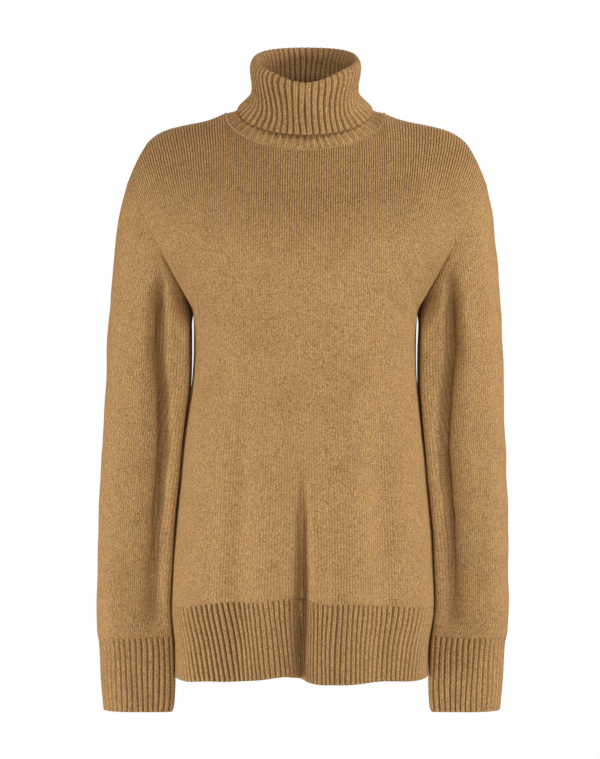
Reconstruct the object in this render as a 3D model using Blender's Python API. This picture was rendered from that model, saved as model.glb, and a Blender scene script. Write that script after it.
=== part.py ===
"""A roll-neck pullover in knitted cashmere, filled out as it is worn, with no wearer.

The frame's origin is the middle of the neck base, level with the shoulder line. +Z is up, the front
faces -Y, and +X is the wearer's left. Sizes below are in millimetres, and the meshes are in metres.
"""

import math
from bisect import bisect_right
from collections import namedtuple

import bmesh
import bpy
from mathutils import Vector

METRES = 0.001

# Cloth and seams
JERSEY_THICKNESS = 2.6
RIB_THICKNESS = 2.4
RIB_RAISE = 1.6
BAND_RIB_RAISE = 1.1
SEAM_GAP = 0.3
RIB_PULL = 1.6  # how far the rib draws in behind the jersey above it

# Heights of the seams
UNDERARM_HEIGHT = -240.0
HEM_RIB_TOP = -580.0
HEM_BOTTOM = -672.0
CUFF_RIB_TOP = -632.0
CUFF_BOTTOM = -719.0

# Where the armhole seam starts and ends, seen from the front
UNDERARM_WIDTH = 133.5
SHOULDER_TIP_WIDTH = 215.5
SHOULDER_TIP_HEIGHT = -88.0

# Ribs, two knit stitches wide with one purl stitch between, and the shape each one gets
HEM_RIBS_PER_PANEL = 62
CUFF_RIBS = 38
COLLAR_RIBS = 60
POINTS_PER_RIB = 2
HEM_SIDE_LEAN = 11.0  # degrees that the hem's side seams swing to the front at the bottom edge
HEM_SIDE_DROP = 5.0  # how much lower the hem hangs at its sides
HEM_LIFT = 0.2  # rise of the bottom edge for each millimetre that a fold sinks

# How finely the pieces are divided. A panel's wales meet the neckline at these angles round the neck,
# and the wales beyond the last of them meet the shoulder seam.
NECK_TURNS = (0.0, 3.0, 6.0, 9.0, 15.0, 24.0, 36.0, 48.0, 60.0, 72.0, 81.0, 90.0)
SHOULDER_STEPS = 7
ARMHOLE_STEPS = 11
SIDE_STEPS = 8
SLEEVE_STEPS = 16
HEM_STEPS = 2
CUFF_STEPS = 2

NECK_WALE = 45.0  # the wale that meets the neck point, in degrees round the body from the centre

# The steps to each side over which a surface's direction is measured
SMALL_TURN = 0.5  # degrees
SMALL_CLIMB = 0.25  # stations of the collar
SMALL_SHARE = 0.06  # of the shoulder seam

Section = namedtuple("Section", "height half_width front_depth back_depth squareness")
TORSO = (
    Section(-672.0, 149.5, 114.0, 100.0, 1.05),
    Section(-580.0, 155.0, 115.0, 100.0, 1.00),
    Section(-466.0, 152.0, 115.0, 96.0, 0.98),
    Section(-379.0, 143.5, 115.0, 94.0, 0.90),
    Section(-328.0, 135.5, 116.5, 96.0, 0.82),
    Section(-280.0, 131.5, 119.0, 100.0, 0.71),
    Section(-240.0, 133.5, 120.5, 103.0, 0.60),
)

# The ridge of the shoulder, from the neck point to the shoulder tip
Ridge = namedtuple("Ridge", "half_width height")
SHOULDER_RIDGE = (
    Ridge(95.0, -2.5),
    Ridge(105.0, -7.0),
    Ridge(116.0, -10.5),
    Ridge(130.0, -14.0),
    Ridge(145.0, -17.0),
    Ridge(160.0, -20.5),
    Ridge(172.0, -25.0),
    Ridge(182.0, -31.0),
    Ridge(190.0, -38.5),
    Ridge(197.0, -49.0),
    Ridge(203.5, -61.0),
    Ridge(209.5, -74.0),
    Ridge(SHOULDER_TIP_WIDTH, SHOULDER_TIP_HEIGHT),
)

# Each panel above the underarm: how far it stands out at its centre and at the armhole, and how high
# its slope would rise over the middle of the neck
Panel = namedtuple("Panel", "centre armhole neck_rise")
FRONT = Panel(121.0, 66.0, 39.0)
BACK = Panel(106.0, 64.0, 74.0)
SHOULDER_POWER = 2.6  # how late the chest turns over to the shoulder
CROWN_POWER = 0.8  # how late the chest's depth falls off from the centre to the armhole
CHEST_FILL = 0.55  # share of the armhole's height over which the chest fills out
CENTRE_FILL_POWER = 2.0  # how slowly it starts to do so, at the centre and at the armhole
ARMHOLE_FILL_POWER = 0.6
ARMHOLE_FILL_FROM = 0.6  # share of the half width past which the armhole's power takes over
NECKLINE_POWER = 1.5  # how wide the bottom of the neckline's scoop is

# The collar, from the neck seam up inside the roll, over the fold and down to the free edge. Each ring
# is the side of the cloth that the roll hides.
CollarRing = namedtuple("CollarRing", "station half_width side_y front_y back_y front_z side_z back_z")
COLLAR = (
    CollarRing(0.0, 95.0, 0.0, -98.0, 76.0, -54.5, -2.5, -8.0),  # neck seam
    CollarRing(1.0, 84.5, -3.0, -95.5, 70.0, -44.0, 0.0, 5.0),  # band below the roll
    CollarRing(2.0, 73.5, -8.0, -91.5, 61.0, -32.0, 4.0, 20.0),  # under the free edge
    CollarRing(3.0, 62.5, -15.0, -86.5, 47.5, -13.0, 14.0, 42.0),  # foot of the stand
    CollarRing(4.0, 57.5, -22.0, -82.0, 37.0, 5.0, 30.0, 60.5),  # middle of the stand
    CollarRing(5.0, 58.0, -27.0, -83.0, 31.0, 16.0, 43.5, 70.5),  # top of the stand
    CollarRing(6.0, 60.0, -28.0, -85.0, 32.5, 23.0, 51.5, 77.5),  # fold
    CollarRing(7.0, 62.0, -29.0, -87.0, 34.5, 16.0, 43.5, 70.5),  # just over the fold
    CollarRing(8.0, 60.0, -22.0, -85.5, 41.0, -1.0, 26.0, 56.0),  # waist of the roll
    CollarRing(9.0, 66.0, -15.0, -90.5, 53.5, -20.0, 12.0, 38.0),  # flare
    CollarRing(10.0, 77.0, -7.0, -97.5, 69.0, -37.0, 4.0, 24.5),  # free edge
)
COLLAR_FACE_STATIONS = (0, 1, 2, 3, 4, 5, 5.5, 6, 6.5, 7, 8, 9, 10)
COLLAR_BAND_STATIONS = (0, 1, 2)
COLLAR_HIDDEN_STATIONS = (3, 4, 5, 6, 7, 8, 9, 10)
SEAM_BLEND = 2.5  # stations over which the collar's rings leave the neckline's own outline
NECK_SEAM_LEAN = 0.4  # how much the neck seam's edge faces sideways at the sides of the neck
NECK_SEAM_TILT = 0.35  # how much it faces up at the front
NECK_POINT_TILT = 1.0  # and at the neck point

# Folds of the body, by the angle round it from the centre front, and the heights where each one
# starts and is full. A positive depth stands out, and a negative one sinks in.
Fold = namedtuple("Fold", "angle top full depth width")
BODY_FOLDS = (
    Fold(-0.5, -390.0, -640.0, -15.0, 3.4),
    Fold(7.5, -400.0, -640.0, 6.0, 5.0),
    Fold(-17.0, -360.0, -600.0, 4.5, 9.0),
    Fold(-29.0, -330.0, -470.0, -3.5, 6.0),
    Fold(38.0, -330.0, -500.0, -4.5, 7.5),
    Fold(20.0, -330.0, -520.0, 2.5, 7.0),
    Fold(62.0, -400.0, -600.0, 2.5, 9.0),
    Fold(-58.0, -400.0, -600.0, 2.5, 10.0),
    Fold(166.0, -400.0, -640.0, -7.0, 6.0),
    Fold(181.0, -380.0, -620.0, 4.0, 8.0),
    Fold(199.0, -420.0, -650.0, -6.0, 7.0),
    Fold(-135.0, -420.0, -640.0, 3.0, 10.0),
    Fold(135.0, -420.0, -640.0, 3.0, 10.0),
)

# The sleeve seen from the front: its outer line by height, and its inner line by height
SleeveLine = namedtuple("SleeveLine", "height half_width")
SLEEVE_OUTER = (
    SleeveLine(-719.0, 237.0),
    SleeveLine(-683.0, 241.0),
    SleeveLine(-640.0, 243.5),
    SleeveLine(-628.0, 246.0),
    SleeveLine(-596.0, 246.5),
    SleeveLine(-481.0, 245.0),
    SleeveLine(-366.0, 240.6),
    SleeveLine(-251.0, 236.0),
    SleeveLine(-174.0, 229.5),
    SleeveLine(-126.0, 224.0),
    SleeveLine(SHOULDER_TIP_HEIGHT, SHOULDER_TIP_WIDTH),
)
SLEEVE_INNER = (
    SleeveLine(-719.0, 155.5),
    SleeveLine(-640.0, 157.0),
    SleeveLine(-588.0, 158.5),
    SleeveLine(-466.0, 156.0),
    SleeveLine(-430.0, 153.0),
    SleeveLine(-379.0, 147.5),
    SleeveLine(-330.0, 140.0),
    SleeveLine(-290.0, 137.2),
    SleeveLine(-255.0, 136.8),
    SleeveLine(UNDERARM_HEIGHT, UNDERARM_WIDTH),
)
SleeveDepth = namedtuple("SleeveDepth", "height half_depth centre_y")
SLEEVE_DEPTH = (
    SleeveDepth(-719.0, 32.0, 10.0),
    SleeveDepth(-632.0, 36.0, 11.0),
    SleeveDepth(-600.0, 39.0, 11.0),
    SleeveDepth(-480.0, 43.0, 9.0),
    SleeveDepth(-360.0, 47.0, 6.0),
    SleeveDepth(-250.0, 52.0, 3.0),
    SleeveDepth(-88.0, 60.0, 0.0),
)
SLEEVE_CAP_SHARE = 0.5  # share of the sleeve's length over which its rings turn level
SLEEVE_CAP_BEND = 1.6
SLEEVE_BLEND_SHARE = 0.18  # share of its length over which the armhole's outline rounds off

# Folds of a sleeve, by the angle round it: 0 at the outer line, 90 at the front and 180 at the body
SleeveFold = namedtuple("SleeveFold", "angle top full fade bottom depth width")
SLEEVE_FOLDS = (
    SleeveFold(111.0, -160.0, -225.0, -380.0, -590.0, -11.0, 10.0),
    SleeveFold(86.0, -170.0, -240.0, -400.0, -600.0, 3.5, 15.0),
    SleeveFold(140.0, -190.0, -250.0, -400.0, -560.0, -4.0, 20.0),
    SleeveFold(120.0, -460.0, -540.0, -600.0, -628.0, -4.5, 16.0),
    SleeveFold(245.0, -180.0, -250.0, -420.0, -580.0, -6.0, 13.0),
    SleeveFold(275.0, -200.0, -260.0, -440.0, -600.0, 3.0, 16.0),
)


def ease(share):
    """0 to 1 with soft ends."""
    share = min(max(share, 0.0), 1.0)
    return share * share * (3.0 - 2.0 * share)


def read(table, at):
    """The table's row where its first column is `at`, smoothly between the rows that are given."""
    keys = [row[0] for row in table]
    last = len(table) - 1
    low = min(max(bisect_right(keys, at) - 1, 0), last - 1)

    def slope(row):
        before, after = max(row - 1, 0), min(row + 1, last)
        span = keys[after] - keys[before]
        return [(b - a) / span for a, b in zip(table[before], table[after])]

    span = keys[low + 1] - keys[low]
    t = (at - keys[low]) / span
    start, end = 2 * t**3 - 3 * t**2 + 1, 3 * t**2 - 2 * t**3
    leave, arrive = (t**3 - 2 * t**2 + t) * span, (t**3 - t**2) * span
    columns = zip(table[low], table[low + 1], slope(low), slope(low + 1))
    return type(table[0])(*(start * a + end * b + leave * m + arrive * n for a, b, m, n in columns))


def turned(angle, other):
    """The angle from one direction to another, from -180 to 180 degrees."""
    return (angle - other + 180.0) % 360.0 - 180.0


def body_fold(angle, height):
    """How far the body's folds stand out, or sink in where negative."""
    total = 0.0
    for fold in BODY_FOLDS:
        grown = ease((fold.top - height) / (fold.top - fold.full))
        total += fold.depth * grown * math.exp(-((turned(angle, fold.angle) / fold.width) ** 2))
    return total


def torso_point(angle, height):
    """The body below the underarm, at an angle round it from the centre front."""
    section = read(TORSO, height)
    across, along = math.sin(math.radians(angle)), math.cos(math.radians(angle))
    depth = section.front_depth if along > 0.0 else section.back_depth
    reach = math.copysign(abs(along) ** section.squareness, along)
    out = body_fold(angle, height)
    return Vector((section.half_width * across + out * across, -depth * reach - out * along, height))


def torso_normal(angle, height):
    """The level direction that faces out of the body."""
    round_it = torso_point(angle + SMALL_TURN, height) - torso_point(angle - SMALL_TURN, height)
    return Vector((-round_it.y, round_it.x, 0.0)).normalized() * -1.0


def collar_ring_point(ring, angle):
    """A point of a collar ring, at an angle round the neck from the centre front."""
    across, along = math.sin(math.radians(angle)), math.cos(math.radians(angle))
    reach = ring.side_y - ring.front_y if along > 0.0 else ring.back_y - ring.side_y
    level = (ring.front_z + ring.back_z + 2.0 * ring.side_z) / 4.0
    tilt = (ring.front_z - ring.back_z) / 2.0
    saddle = (ring.front_z + ring.back_z - 2.0 * ring.side_z) / 4.0
    height = level + tilt * along + saddle * math.cos(math.radians(2.0 * angle))
    return Vector((ring.half_width * across, ring.side_y - reach * along, height))


def collar_point(station, angle):
    """The hidden side of the collar's cloth, from the neck seam at station 0 to the free edge."""
    point = collar_ring_point(read(COLLAR, station), angle)
    to_seam = max(1.0 - station / SEAM_BLEND, 0.0) ** 2
    if to_seam > 0.0:
        point += (neck_seam_point(angle) - collar_ring_point(COLLAR[0], angle)) * to_seam
    return point


def collar_normal(station, angle):
    """The direction from the hidden side of the collar's cloth to the side that shows on the roll."""
    if station == 0.0:
        return neck_seam_normal(angle) * -1.0
    round_it = collar_point(station, angle + SMALL_TURN) - collar_point(station, angle - SMALL_TURN)
    low, high = max(station - SMALL_CLIMB, 0.0), min(station + SMALL_CLIMB, COLLAR[-1].station)
    up_it = collar_point(high, angle) - collar_point(low, angle)
    return round_it.cross(up_it).normalized() * -1.0


def straight_between(stops, at, point_at):
    """The point at `at` on the straight lines that join a curve's points at the given stops."""
    low = min(max(bisect_right(stops, at) - 1, 0), len(stops) - 2)
    share = (at - stops[low]) / (stops[low + 1] - stops[low])
    return point_at(stops[low]).lerp(point_at(stops[low + 1]), share)


def ridge_point(share):
    """The shoulder seam, from the neck point at 0 to the shoulder tip at 1, by its length."""
    lengths = [0.0]
    for a, b in zip(SHOULDER_RIDGE, SHOULDER_RIDGE[1:]):
        lengths.append(lengths[-1] + math.hypot(b.half_width - a.half_width, b.height - a.height))
    stops = [length / lengths[-1] for length in lengths]
    seam = [Vector((ridge.half_width, 0.0, ridge.height)) for ridge in SHOULDER_RIDGE]
    points = dict(zip(stops, seam))
    return straight_between(stops, share, points.get)


def ridge_normal(share):
    """The direction out of the cloth along the shoulder seam."""
    along = ridge_point(min(share + SMALL_SHARE, 1.0)) - ridge_point(max(share - SMALL_SHARE, 0.0))
    return Vector((-along.z, 0.0, along.x)).normalized()


def ridge_height(width, panel):
    """The height that the panel's slope rises to: the shoulder's ridge or, near the neck, a line over it."""
    neck = SHOULDER_RIDGE[0]
    if width < neck.half_width:
        return neck.height + panel.neck_rise * (1.0 - (width / neck.half_width) ** 2) ** 2
    stops = [ridge.half_width for ridge in SHOULDER_RIDGE]
    heights = {ridge.half_width: Vector((0.0, 0.0, ridge.height)) for ridge in SHOULDER_RIDGE}
    return straight_between(stops, min(width, stops[-1]), heights.get).z


def armhole_plane(height):
    """Half the body's width where the armhole seam passes a height."""
    share = (height - UNDERARM_HEIGHT) / (SHOULDER_TIP_HEIGHT - UNDERARM_HEIGHT)
    return UNDERARM_WIDTH + share * (SHOULDER_TIP_WIDTH - UNDERARM_WIDTH)


def body_depth(width, height, facing):
    """How far the body above the underarm stands out from the plane of the shoulder seams."""
    panel = FRONT if facing < 0.0 else BACK
    base = read(TORSO, UNDERARM_HEIGHT)
    share = (height - UNDERARM_HEIGHT) / (SHOULDER_TIP_HEIGHT - UNDERARM_HEIGHT)
    across = min(width / armhole_plane(height), 1.0)
    inward = 1.0 - across**2
    bottom = (base.front_depth if facing < 0.0 else base.back_depth) * inward ** (base.squareness / 2.0)
    full = panel.armhole + (panel.centre - panel.armhole) * inward**CROWN_POWER
    sideways = ease((across - ARMHOLE_FILL_FROM) / (1.0 - ARMHOLE_FILL_FROM))
    power = CENTRE_FILL_POWER + (ARMHOLE_FILL_POWER - CENTRE_FILL_POWER) * sideways
    filled = math.sin(math.radians(90.0) * min(max(share, 0.0) / CHEST_FILL, 1.0)) ** power
    climbed = (height - UNDERARM_HEIGHT) / (ridge_height(width, panel) - UNDERARM_HEIGHT)
    roll = math.sqrt(1.0 - min(max(climbed, 0.0), 1.0) ** SHOULDER_POWER)
    return (bottom + (full - bottom) * filled) * roll


def neckline_point(angle):
    """The neck seam, at an angle round the neck from the centre front, on the body's surface."""
    across, along = math.sin(math.radians(angle)), math.cos(math.radians(angle))
    ring, facing = COLLAR[0], math.copysign(1.0, -along)
    to_side = (ring.front_z if facing < 0.0 else ring.back_z) - ring.side_z
    seam = Vector((ring.half_width * across, 0.0, ring.side_z + to_side * abs(along) ** NECKLINE_POWER))
    if abs(along) > 1e-4:
        seam.y = facing * body_depth(abs(seam.x), seam.z, facing)
    return seam


def neck_seam_point(angle):
    """The neck seam as the pieces have it: straight between the wales that the panels are divided at."""
    stops = [sign * turn for sign in (-1.0, 1.0) for turn in NECK_TURNS]
    stops = sorted({*stops, *(180.0 - stop for stop in stops), 270.0 - 360.0})
    return straight_between(stops, (angle + 90.0) % 360.0 - 90.0, neckline_point)


def neck_seam_normal(angle):
    """The direction out of the cloth that both sides of the neck seam share."""
    across, along = math.sin(math.radians(angle)), math.cos(math.radians(angle))
    tilt = NECK_SEAM_TILT + (NECK_POINT_TILT - NECK_SEAM_TILT) * across**2
    return Vector((NECK_SEAM_LEAN * across, -along, tilt)).normalized()


def armhole_point(share, facing):
    """The armhole seam. It lies in one plane, with facing -1 for its front half and 1 for its back."""
    height = UNDERARM_HEIGHT + share * (SHOULDER_TIP_HEIGHT - UNDERARM_HEIGHT)
    width = armhole_plane(height)
    depth = body_depth(width, height, facing) if 0.0 < share < 1.0 else 0.0
    return Vector((width, facing * depth, height))


def armhole_share(step):
    """Where a course meets the armhole, so that the points are even round the sleeve."""
    return (1.0 - math.cos(math.pi * step / ARMHOLE_STEPS)) / 2.0


def armhole_normal(step, facing):
    """The direction out of the armhole's outline, in its own plane."""
    tip = Vector((SHOULDER_TIP_WIDTH, 0.0, SHOULDER_TIP_HEIGHT))
    underarm = Vector((UNDERARM_WIDTH, 0.0, UNDERARM_HEIGHT))
    angle = math.pi * step / ARMHOLE_STEPS
    up = (tip - underarm).normalized()
    return (up * -math.cos(angle) + Vector((0.0, facing, 0.0)) * math.sin(angle)).normalized()


def neck_turn(wale):
    """The angle round the neck where a wale meets the neckline."""
    lean = math.sin(math.radians(wale)) / math.sin(math.radians(NECK_WALE))
    return math.degrees(math.asin(min(max(lean, -1.0), 1.0)))


def panel_wales():
    """The wales that a panel is divided at, in degrees round the body from its centre."""
    at_neck = math.sin(math.radians(NECK_WALE))
    half = [math.degrees(math.asin(at_neck * math.sin(math.radians(turn)))) for turn in NECK_TURNS[1:]]
    half += [NECK_WALE + (90.0 - NECK_WALE) * k / SHOULDER_STEPS for k in range(1, SHOULDER_STEPS + 1)]
    return [-wale for wale in reversed(half)] + [0.0] + half


def chest_point(wale, share, facing):
    """The panel above the underarm: share 0 is the underarm's course and 1 the shoulder and neckline."""
    side = math.copysign(1.0, wale)
    if abs(wale) <= NECK_WALE + 1e-6:
        turn = neck_turn(abs(wale))
        top = neckline_point(turn if facing < 0.0 else 180.0 - turn)
    else:
        top = ridge_point((abs(wale) - NECK_WALE) / (90.0 - NECK_WALE))
    if share >= 1.0:
        return Vector((side * top.x, top.y + facing * SEAM_GAP / 2.0, top.z))
    if abs(wale) >= 90.0:
        edge = armhole_point(share, facing)
        return Vector((side * edge.x, edge.y + facing * SEAM_GAP / 2.0, edge.z))
    base = read(TORSO, UNDERARM_HEIGHT).half_width * math.sin(math.radians(abs(wale)))
    width = base + share * (top.x - base)
    height = UNDERARM_HEIGHT + share * (top.z - UNDERARM_HEIGHT)
    depth = body_depth(width, height, facing) + SEAM_GAP / 2.0
    return Vector((side * width, facing * depth, height))


def grid_normals(rows, outward):
    """The direction out of a surface at each point of its rows."""
    normals = []
    for i, row in enumerate(rows):
        above, below = rows[min(i + 1, len(rows) - 1)], rows[max(i - 1, 0)]
        line = []
        for j, point in enumerate(row):
            across = row[min(j + 1, len(row) - 1)] - row[max(j - 1, 0)]
            normal = across.cross(above[j] - below[j]).normalized()
            line.append(normal if normal.dot(outward(point)) > 0.0 else -normal)
        normals.append(line)
    return normals


def panel_grid(facing):
    """The outer points of the front or back panel and the directions out of it, from hem to shoulder."""
    wales = panel_wales()
    rows = []
    for step in range(SIDE_STEPS):
        height = HEM_RIB_TOP + (UNDERARM_HEIGHT - HEM_RIB_TOP) * step / SIDE_STEPS
        row = []
        for wale in wales:
            point = torso_point(wale if facing < 0.0 else 180.0 - wale, height)
            point.y += facing * SEAM_GAP / 2.0
            row.append(point)
        rows.append(row)
    for step in range(ARMHOLE_STEPS + 1):
        rows.append([chest_point(wale, armhole_share(step), facing) for wale in wales])
    normals = grid_normals(rows, lambda point: Vector((point.x, point.y, 0.2 * (point.z + 300.0))))
    share_seam_normals(normals, wales, facing)
    return rows, normals


def share_seam_normals(normals, wales, facing):
    """Along a seam both cloths take one direction, so that their edges stay parallel."""
    for row in normals[:SIDE_STEPS]:
        row[0], row[-1] = Vector((-1.0, 0.0, 0.0)), Vector((1.0, 0.0, 0.0))
    for j, wale in enumerate(wales):
        if abs(wale) <= NECK_WALE + 1e-6:
            turn = neck_turn(wale)
            normals[-1][j] = neck_seam_normal(turn if facing < 0.0 else 180.0 - turn)
        else:
            out = ridge_normal((abs(wale) - NECK_WALE) / (90.0 - NECK_WALE))
            normals[-1][j] = Vector((math.copysign(out.x, wale), 0.0, out.z))
    for step in range(ARMHOLE_STEPS + 1):
        out = armhole_normal(step, facing)
        normals[SIDE_STEPS + step][-1] = out
        normals[SIDE_STEPS + step][0] = Vector((-out.x, out.y, out.z))


def sleeve_fold(angle, height):
    """How far a sleeve's folds stand out, or sink in where negative."""
    total = 0.0
    for fold in SLEEVE_FOLDS:
        grown = ease((fold.top - height) / (fold.top - fold.full))
        left = 1.0 - ease((fold.fade - height) / (fold.fade - fold.bottom))
        total += fold.depth * grown * left * math.exp(-((turned(angle, fold.angle) / fold.width) ** 2))
    return total


def sleeve_ring(outer_height, inner_height, angle, blend):
    """A point round the sleeve: 0 degrees at its outer line, 90 at the front, 180 next to the body."""
    outer = Vector((read(SLEEVE_OUTER, outer_height).half_width, 0.0, outer_height))
    inner = Vector((read(SLEEVE_INNER, inner_height).half_width, 0.0, inner_height))
    toward, front = math.cos(math.radians(angle)), math.sin(math.radians(angle))
    share = (1.0 + toward) / 2.0
    point = inner.lerp(outer, share)
    body = read(SLEEVE_DEPTH, point.z)
    facing = -1.0 if front >= 0.0 else 1.0
    at_armhole = armhole_point(share, facing).y
    out = sleeve_fold(angle, point.z)
    level = body.centre_y - (body.half_depth + out) * front
    point.y = at_armhole + (level - at_armhole) * blend
    point.x += out * toward * blend
    return point


def sleeve_rows(turns, side):
    """Rings down a sleeve, from the armhole to its rib, and the directions out of them."""
    count = len(turns)
    rise, widening = SHOULDER_TIP_HEIGHT - UNDERARM_HEIGHT, SHOULDER_TIP_WIDTH - UNDERARM_WIDTH
    plane = Vector((rise, 0.0, -widening)).normalized()
    rows, normals = [], []
    for step in range(SLEEVE_STEPS + 1):
        t = step / SLEEVE_STEPS
        outer_height = SHOULDER_TIP_HEIGHT + t * (CUFF_RIB_TOP - SHOULDER_TIP_HEIGHT)
        cap = max(1.0 - t / SLEEVE_CAP_SHARE, 0.0) ** SLEEVE_CAP_BEND
        inner_height = outer_height - cap * (SHOULDER_TIP_HEIGHT - UNDERARM_HEIGHT)
        blend = ease(t / SLEEVE_BLEND_SHARE)
        row = [sleeve_ring(outer_height, inner_height, angle, blend) for angle in turns]
        if step == 0:
            row = [point + plane * SEAM_GAP for point in row]
        rows.append(row)
    for i, row in enumerate(rows):
        above, below = rows[max(i - 1, 0)], rows[min(i + 1, SLEEVE_STEPS)]
        line = []
        for j in range(count):
            across = row[(j + 1) % count] - row[j - 1]
            line.append(across.cross(below[j] - above[j]).normalized())
        normals.append(line)
    for j, angle in enumerate(turns):
        step = ARMHOLE_STEPS * (1.0 - abs(turned(angle, 0.0)) / 180.0)
        normals[0][j] = armhole_normal(step, -1.0 if angle <= 180.0 else 1.0)
    normals[-1] = [Vector((n.x, n.y, 0.0)).normalized() for n in normals[-1]]
    return mirrored(rows, side), mirrored(normals, side)


def mirrored(rows, side):
    """Rows for the wearer's left at side 1, or their mirror image at side -1."""
    return [[Vector((side * v.x, v.y, v.z)) for v in row] for row in rows]


def offset(rows, normals, distance):
    """Rows moved out of the cloth by a distance, or into it where negative."""
    return [[p + n * distance for p, n in zip(row, line)] for row, line in zip(rows, normals)]


def cloth_material(name, colour, roughness):
    material = bpy.data.materials.new(name)
    material.use_nodes = True
    shader = material.node_tree.nodes["Principled BSDF"]
    shader.inputs["Base Color"].default_value = (*colour, 1.0)
    shader.inputs["Roughness"].default_value = roughness
    shader.inputs["Metallic"].default_value = 0.0
    material.diffuse_color = (*colour, 1.0)
    return material


def add_band(mesh, first, second, closed):
    """Faces between two rows of vertices, where one row may have a whole number of times the other's."""
    if len(first) < len(second):
        first, second = second, first
    spans = len(second) if closed else len(second) - 1
    ratio = len(first) // spans
    for span in range(spans):
        fine = [first[(span * ratio + k) % len(first)] for k in range(ratio + 1)]
        coarse = [second[(span + 1) % len(second)], second[span]]
        mesh.faces.new(fine + coarse)


def cloth_piece(name, material, outer, inner, closed):
    """One closed wall of cloth between its outer and inner rows of points."""
    mesh = bmesh.new()
    skins = []
    for rows in (outer, inner):
        skins.append([[mesh.verts.new(point * METRES) for point in row] for row in rows])
    for skin in skins:
        for first, second in zip(skin, skin[1:]):
            add_band(mesh, first, second, closed)
    for end in (0, -1):
        add_band(mesh, skins[0][end], skins[1][end], closed)
    if not closed:
        for side in (0, -1):
            add_band(mesh, [row[side] for row in skins[0]], [row[side] for row in skins[1]], False)
    bmesh.ops.triangulate(mesh, faces=mesh.faces, quad_method="SHORT_EDGE")
    bmesh.ops.recalc_face_normals(mesh, faces=mesh.faces)
    data = bpy.data.meshes.new(name)
    mesh.to_mesh(data)
    mesh.free()
    data.materials.append(material)
    data.shade_smooth()
    data.set_sharp_from_angle(angle=math.radians(35.0))
    piece = bpy.data.objects.new(name, data)
    garment.objects.link(piece)
    return piece


def make_panel(name, facing):
    rows, normals = panel_grid(facing)
    cloth_piece(name, jersey, rows, offset(rows, normals, -JERSEY_THICKNESS), closed=False)


def make_sleeve(name, side):
    count = 2 * ARMHOLE_STEPS
    turns = [360.0 * k / count for k in range(count)]
    rows, normals = sleeve_rows(turns, side)
    cloth_piece(name, jersey, rows, offset(rows, normals, -JERSEY_THICKNESS), closed=True)


def rib_raise(point_number, raise_by):
    """The height of a point of a ribbed face: 0 in the groove between two ribs."""
    return raise_by if point_number % POINTS_PER_RIB else 0.0


def make_cuff(name, side):
    count = CUFF_RIBS * POINTS_PER_RIB
    turns = [360.0 * k / count for k in range(count)]
    outer, inner = [], []
    for step in range(CUFF_STEPS + 1):
        top = CUFF_RIB_TOP - SEAM_GAP
        height = top + (CUFF_BOTTOM - top) * step / CUFF_STEPS
        row = [sleeve_ring(height, height, angle, 1.0) for angle in turns]
        middle = sum(row, Vector()) / count
        out = []
        for j in range(count):
            across = row[(j + 1) % count] - row[j - 1]
            normal = Vector((across.y, -across.x, 0.0)).normalized()
            out.append(normal if normal.dot(row[j] - middle) > 0.0 else -normal)
        base = [point - n * RIB_PULL for point, n in zip(row, out)]
        outer.append([p + n * rib_raise(j, RIB_RAISE) for j, (p, n) in enumerate(zip(base, out))])
        inner.append([p - n * RIB_THICKNESS for p, n in zip(base[::POINTS_PER_RIB], out[::POINTS_PER_RIB])])
    cloth_piece(name, rib, mirrored(outer, side), mirrored(inner, side), closed=True)


def hem_seam_point(angle, facing):
    """The top edge of a hem, straight between the wales that the panel above it is divided at."""
    wales = panel_wales()
    if facing > 0.0:
        wales = sorted(180.0 - wale for wale in wales)
    return straight_between(wales, angle, lambda stop: torso_point(stop, HEM_RIB_TOP))


def make_hem(name, facing):
    """The ribbed hem of one panel. Its side seams swing to the front towards the bottom edge."""
    count = HEM_RIBS_PER_PANEL * POINTS_PER_RIB
    outer, inner = [], []
    for step in range(HEM_STEPS + 1):
        share = step / HEM_STEPS
        height = HEM_RIB_TOP + (HEM_BOTTOM - HEM_RIB_TOP) * share
        reach = 90.0 + facing * HEM_SIDE_LEAN * share
        reach -= math.degrees(SEAM_GAP / 2.0 / read(TORSO, height).back_depth)
        row, out = [], []
        for j in range(count + 1):
            from_centre = reach * (2.0 * j / count - 1.0)
            angle = from_centre if facing < 0.0 else 180.0 - from_centre
            normal = torso_normal(angle, height)
            point = torso_point(angle, height) if step else hem_seam_point(angle, facing)
            drop = HEM_SIDE_DROP * math.sin(math.radians(angle)) ** 2 + HEM_LIFT * body_fold(angle, height)
            drop = share * drop if step else SEAM_GAP
            row.append(point - normal * RIB_PULL - Vector((0.0, 0.0, drop)))
            out.append(normal)
        outer.append([p + n * rib_raise(j, RIB_RAISE) for j, (p, n) in enumerate(zip(row, out))])
        inner.append([p - n * RIB_THICKNESS for p, n in zip(row[::POINTS_PER_RIB], out[::POINTS_PER_RIB])])
    cloth_piece(name, rib, outer, inner, closed=False)


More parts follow.
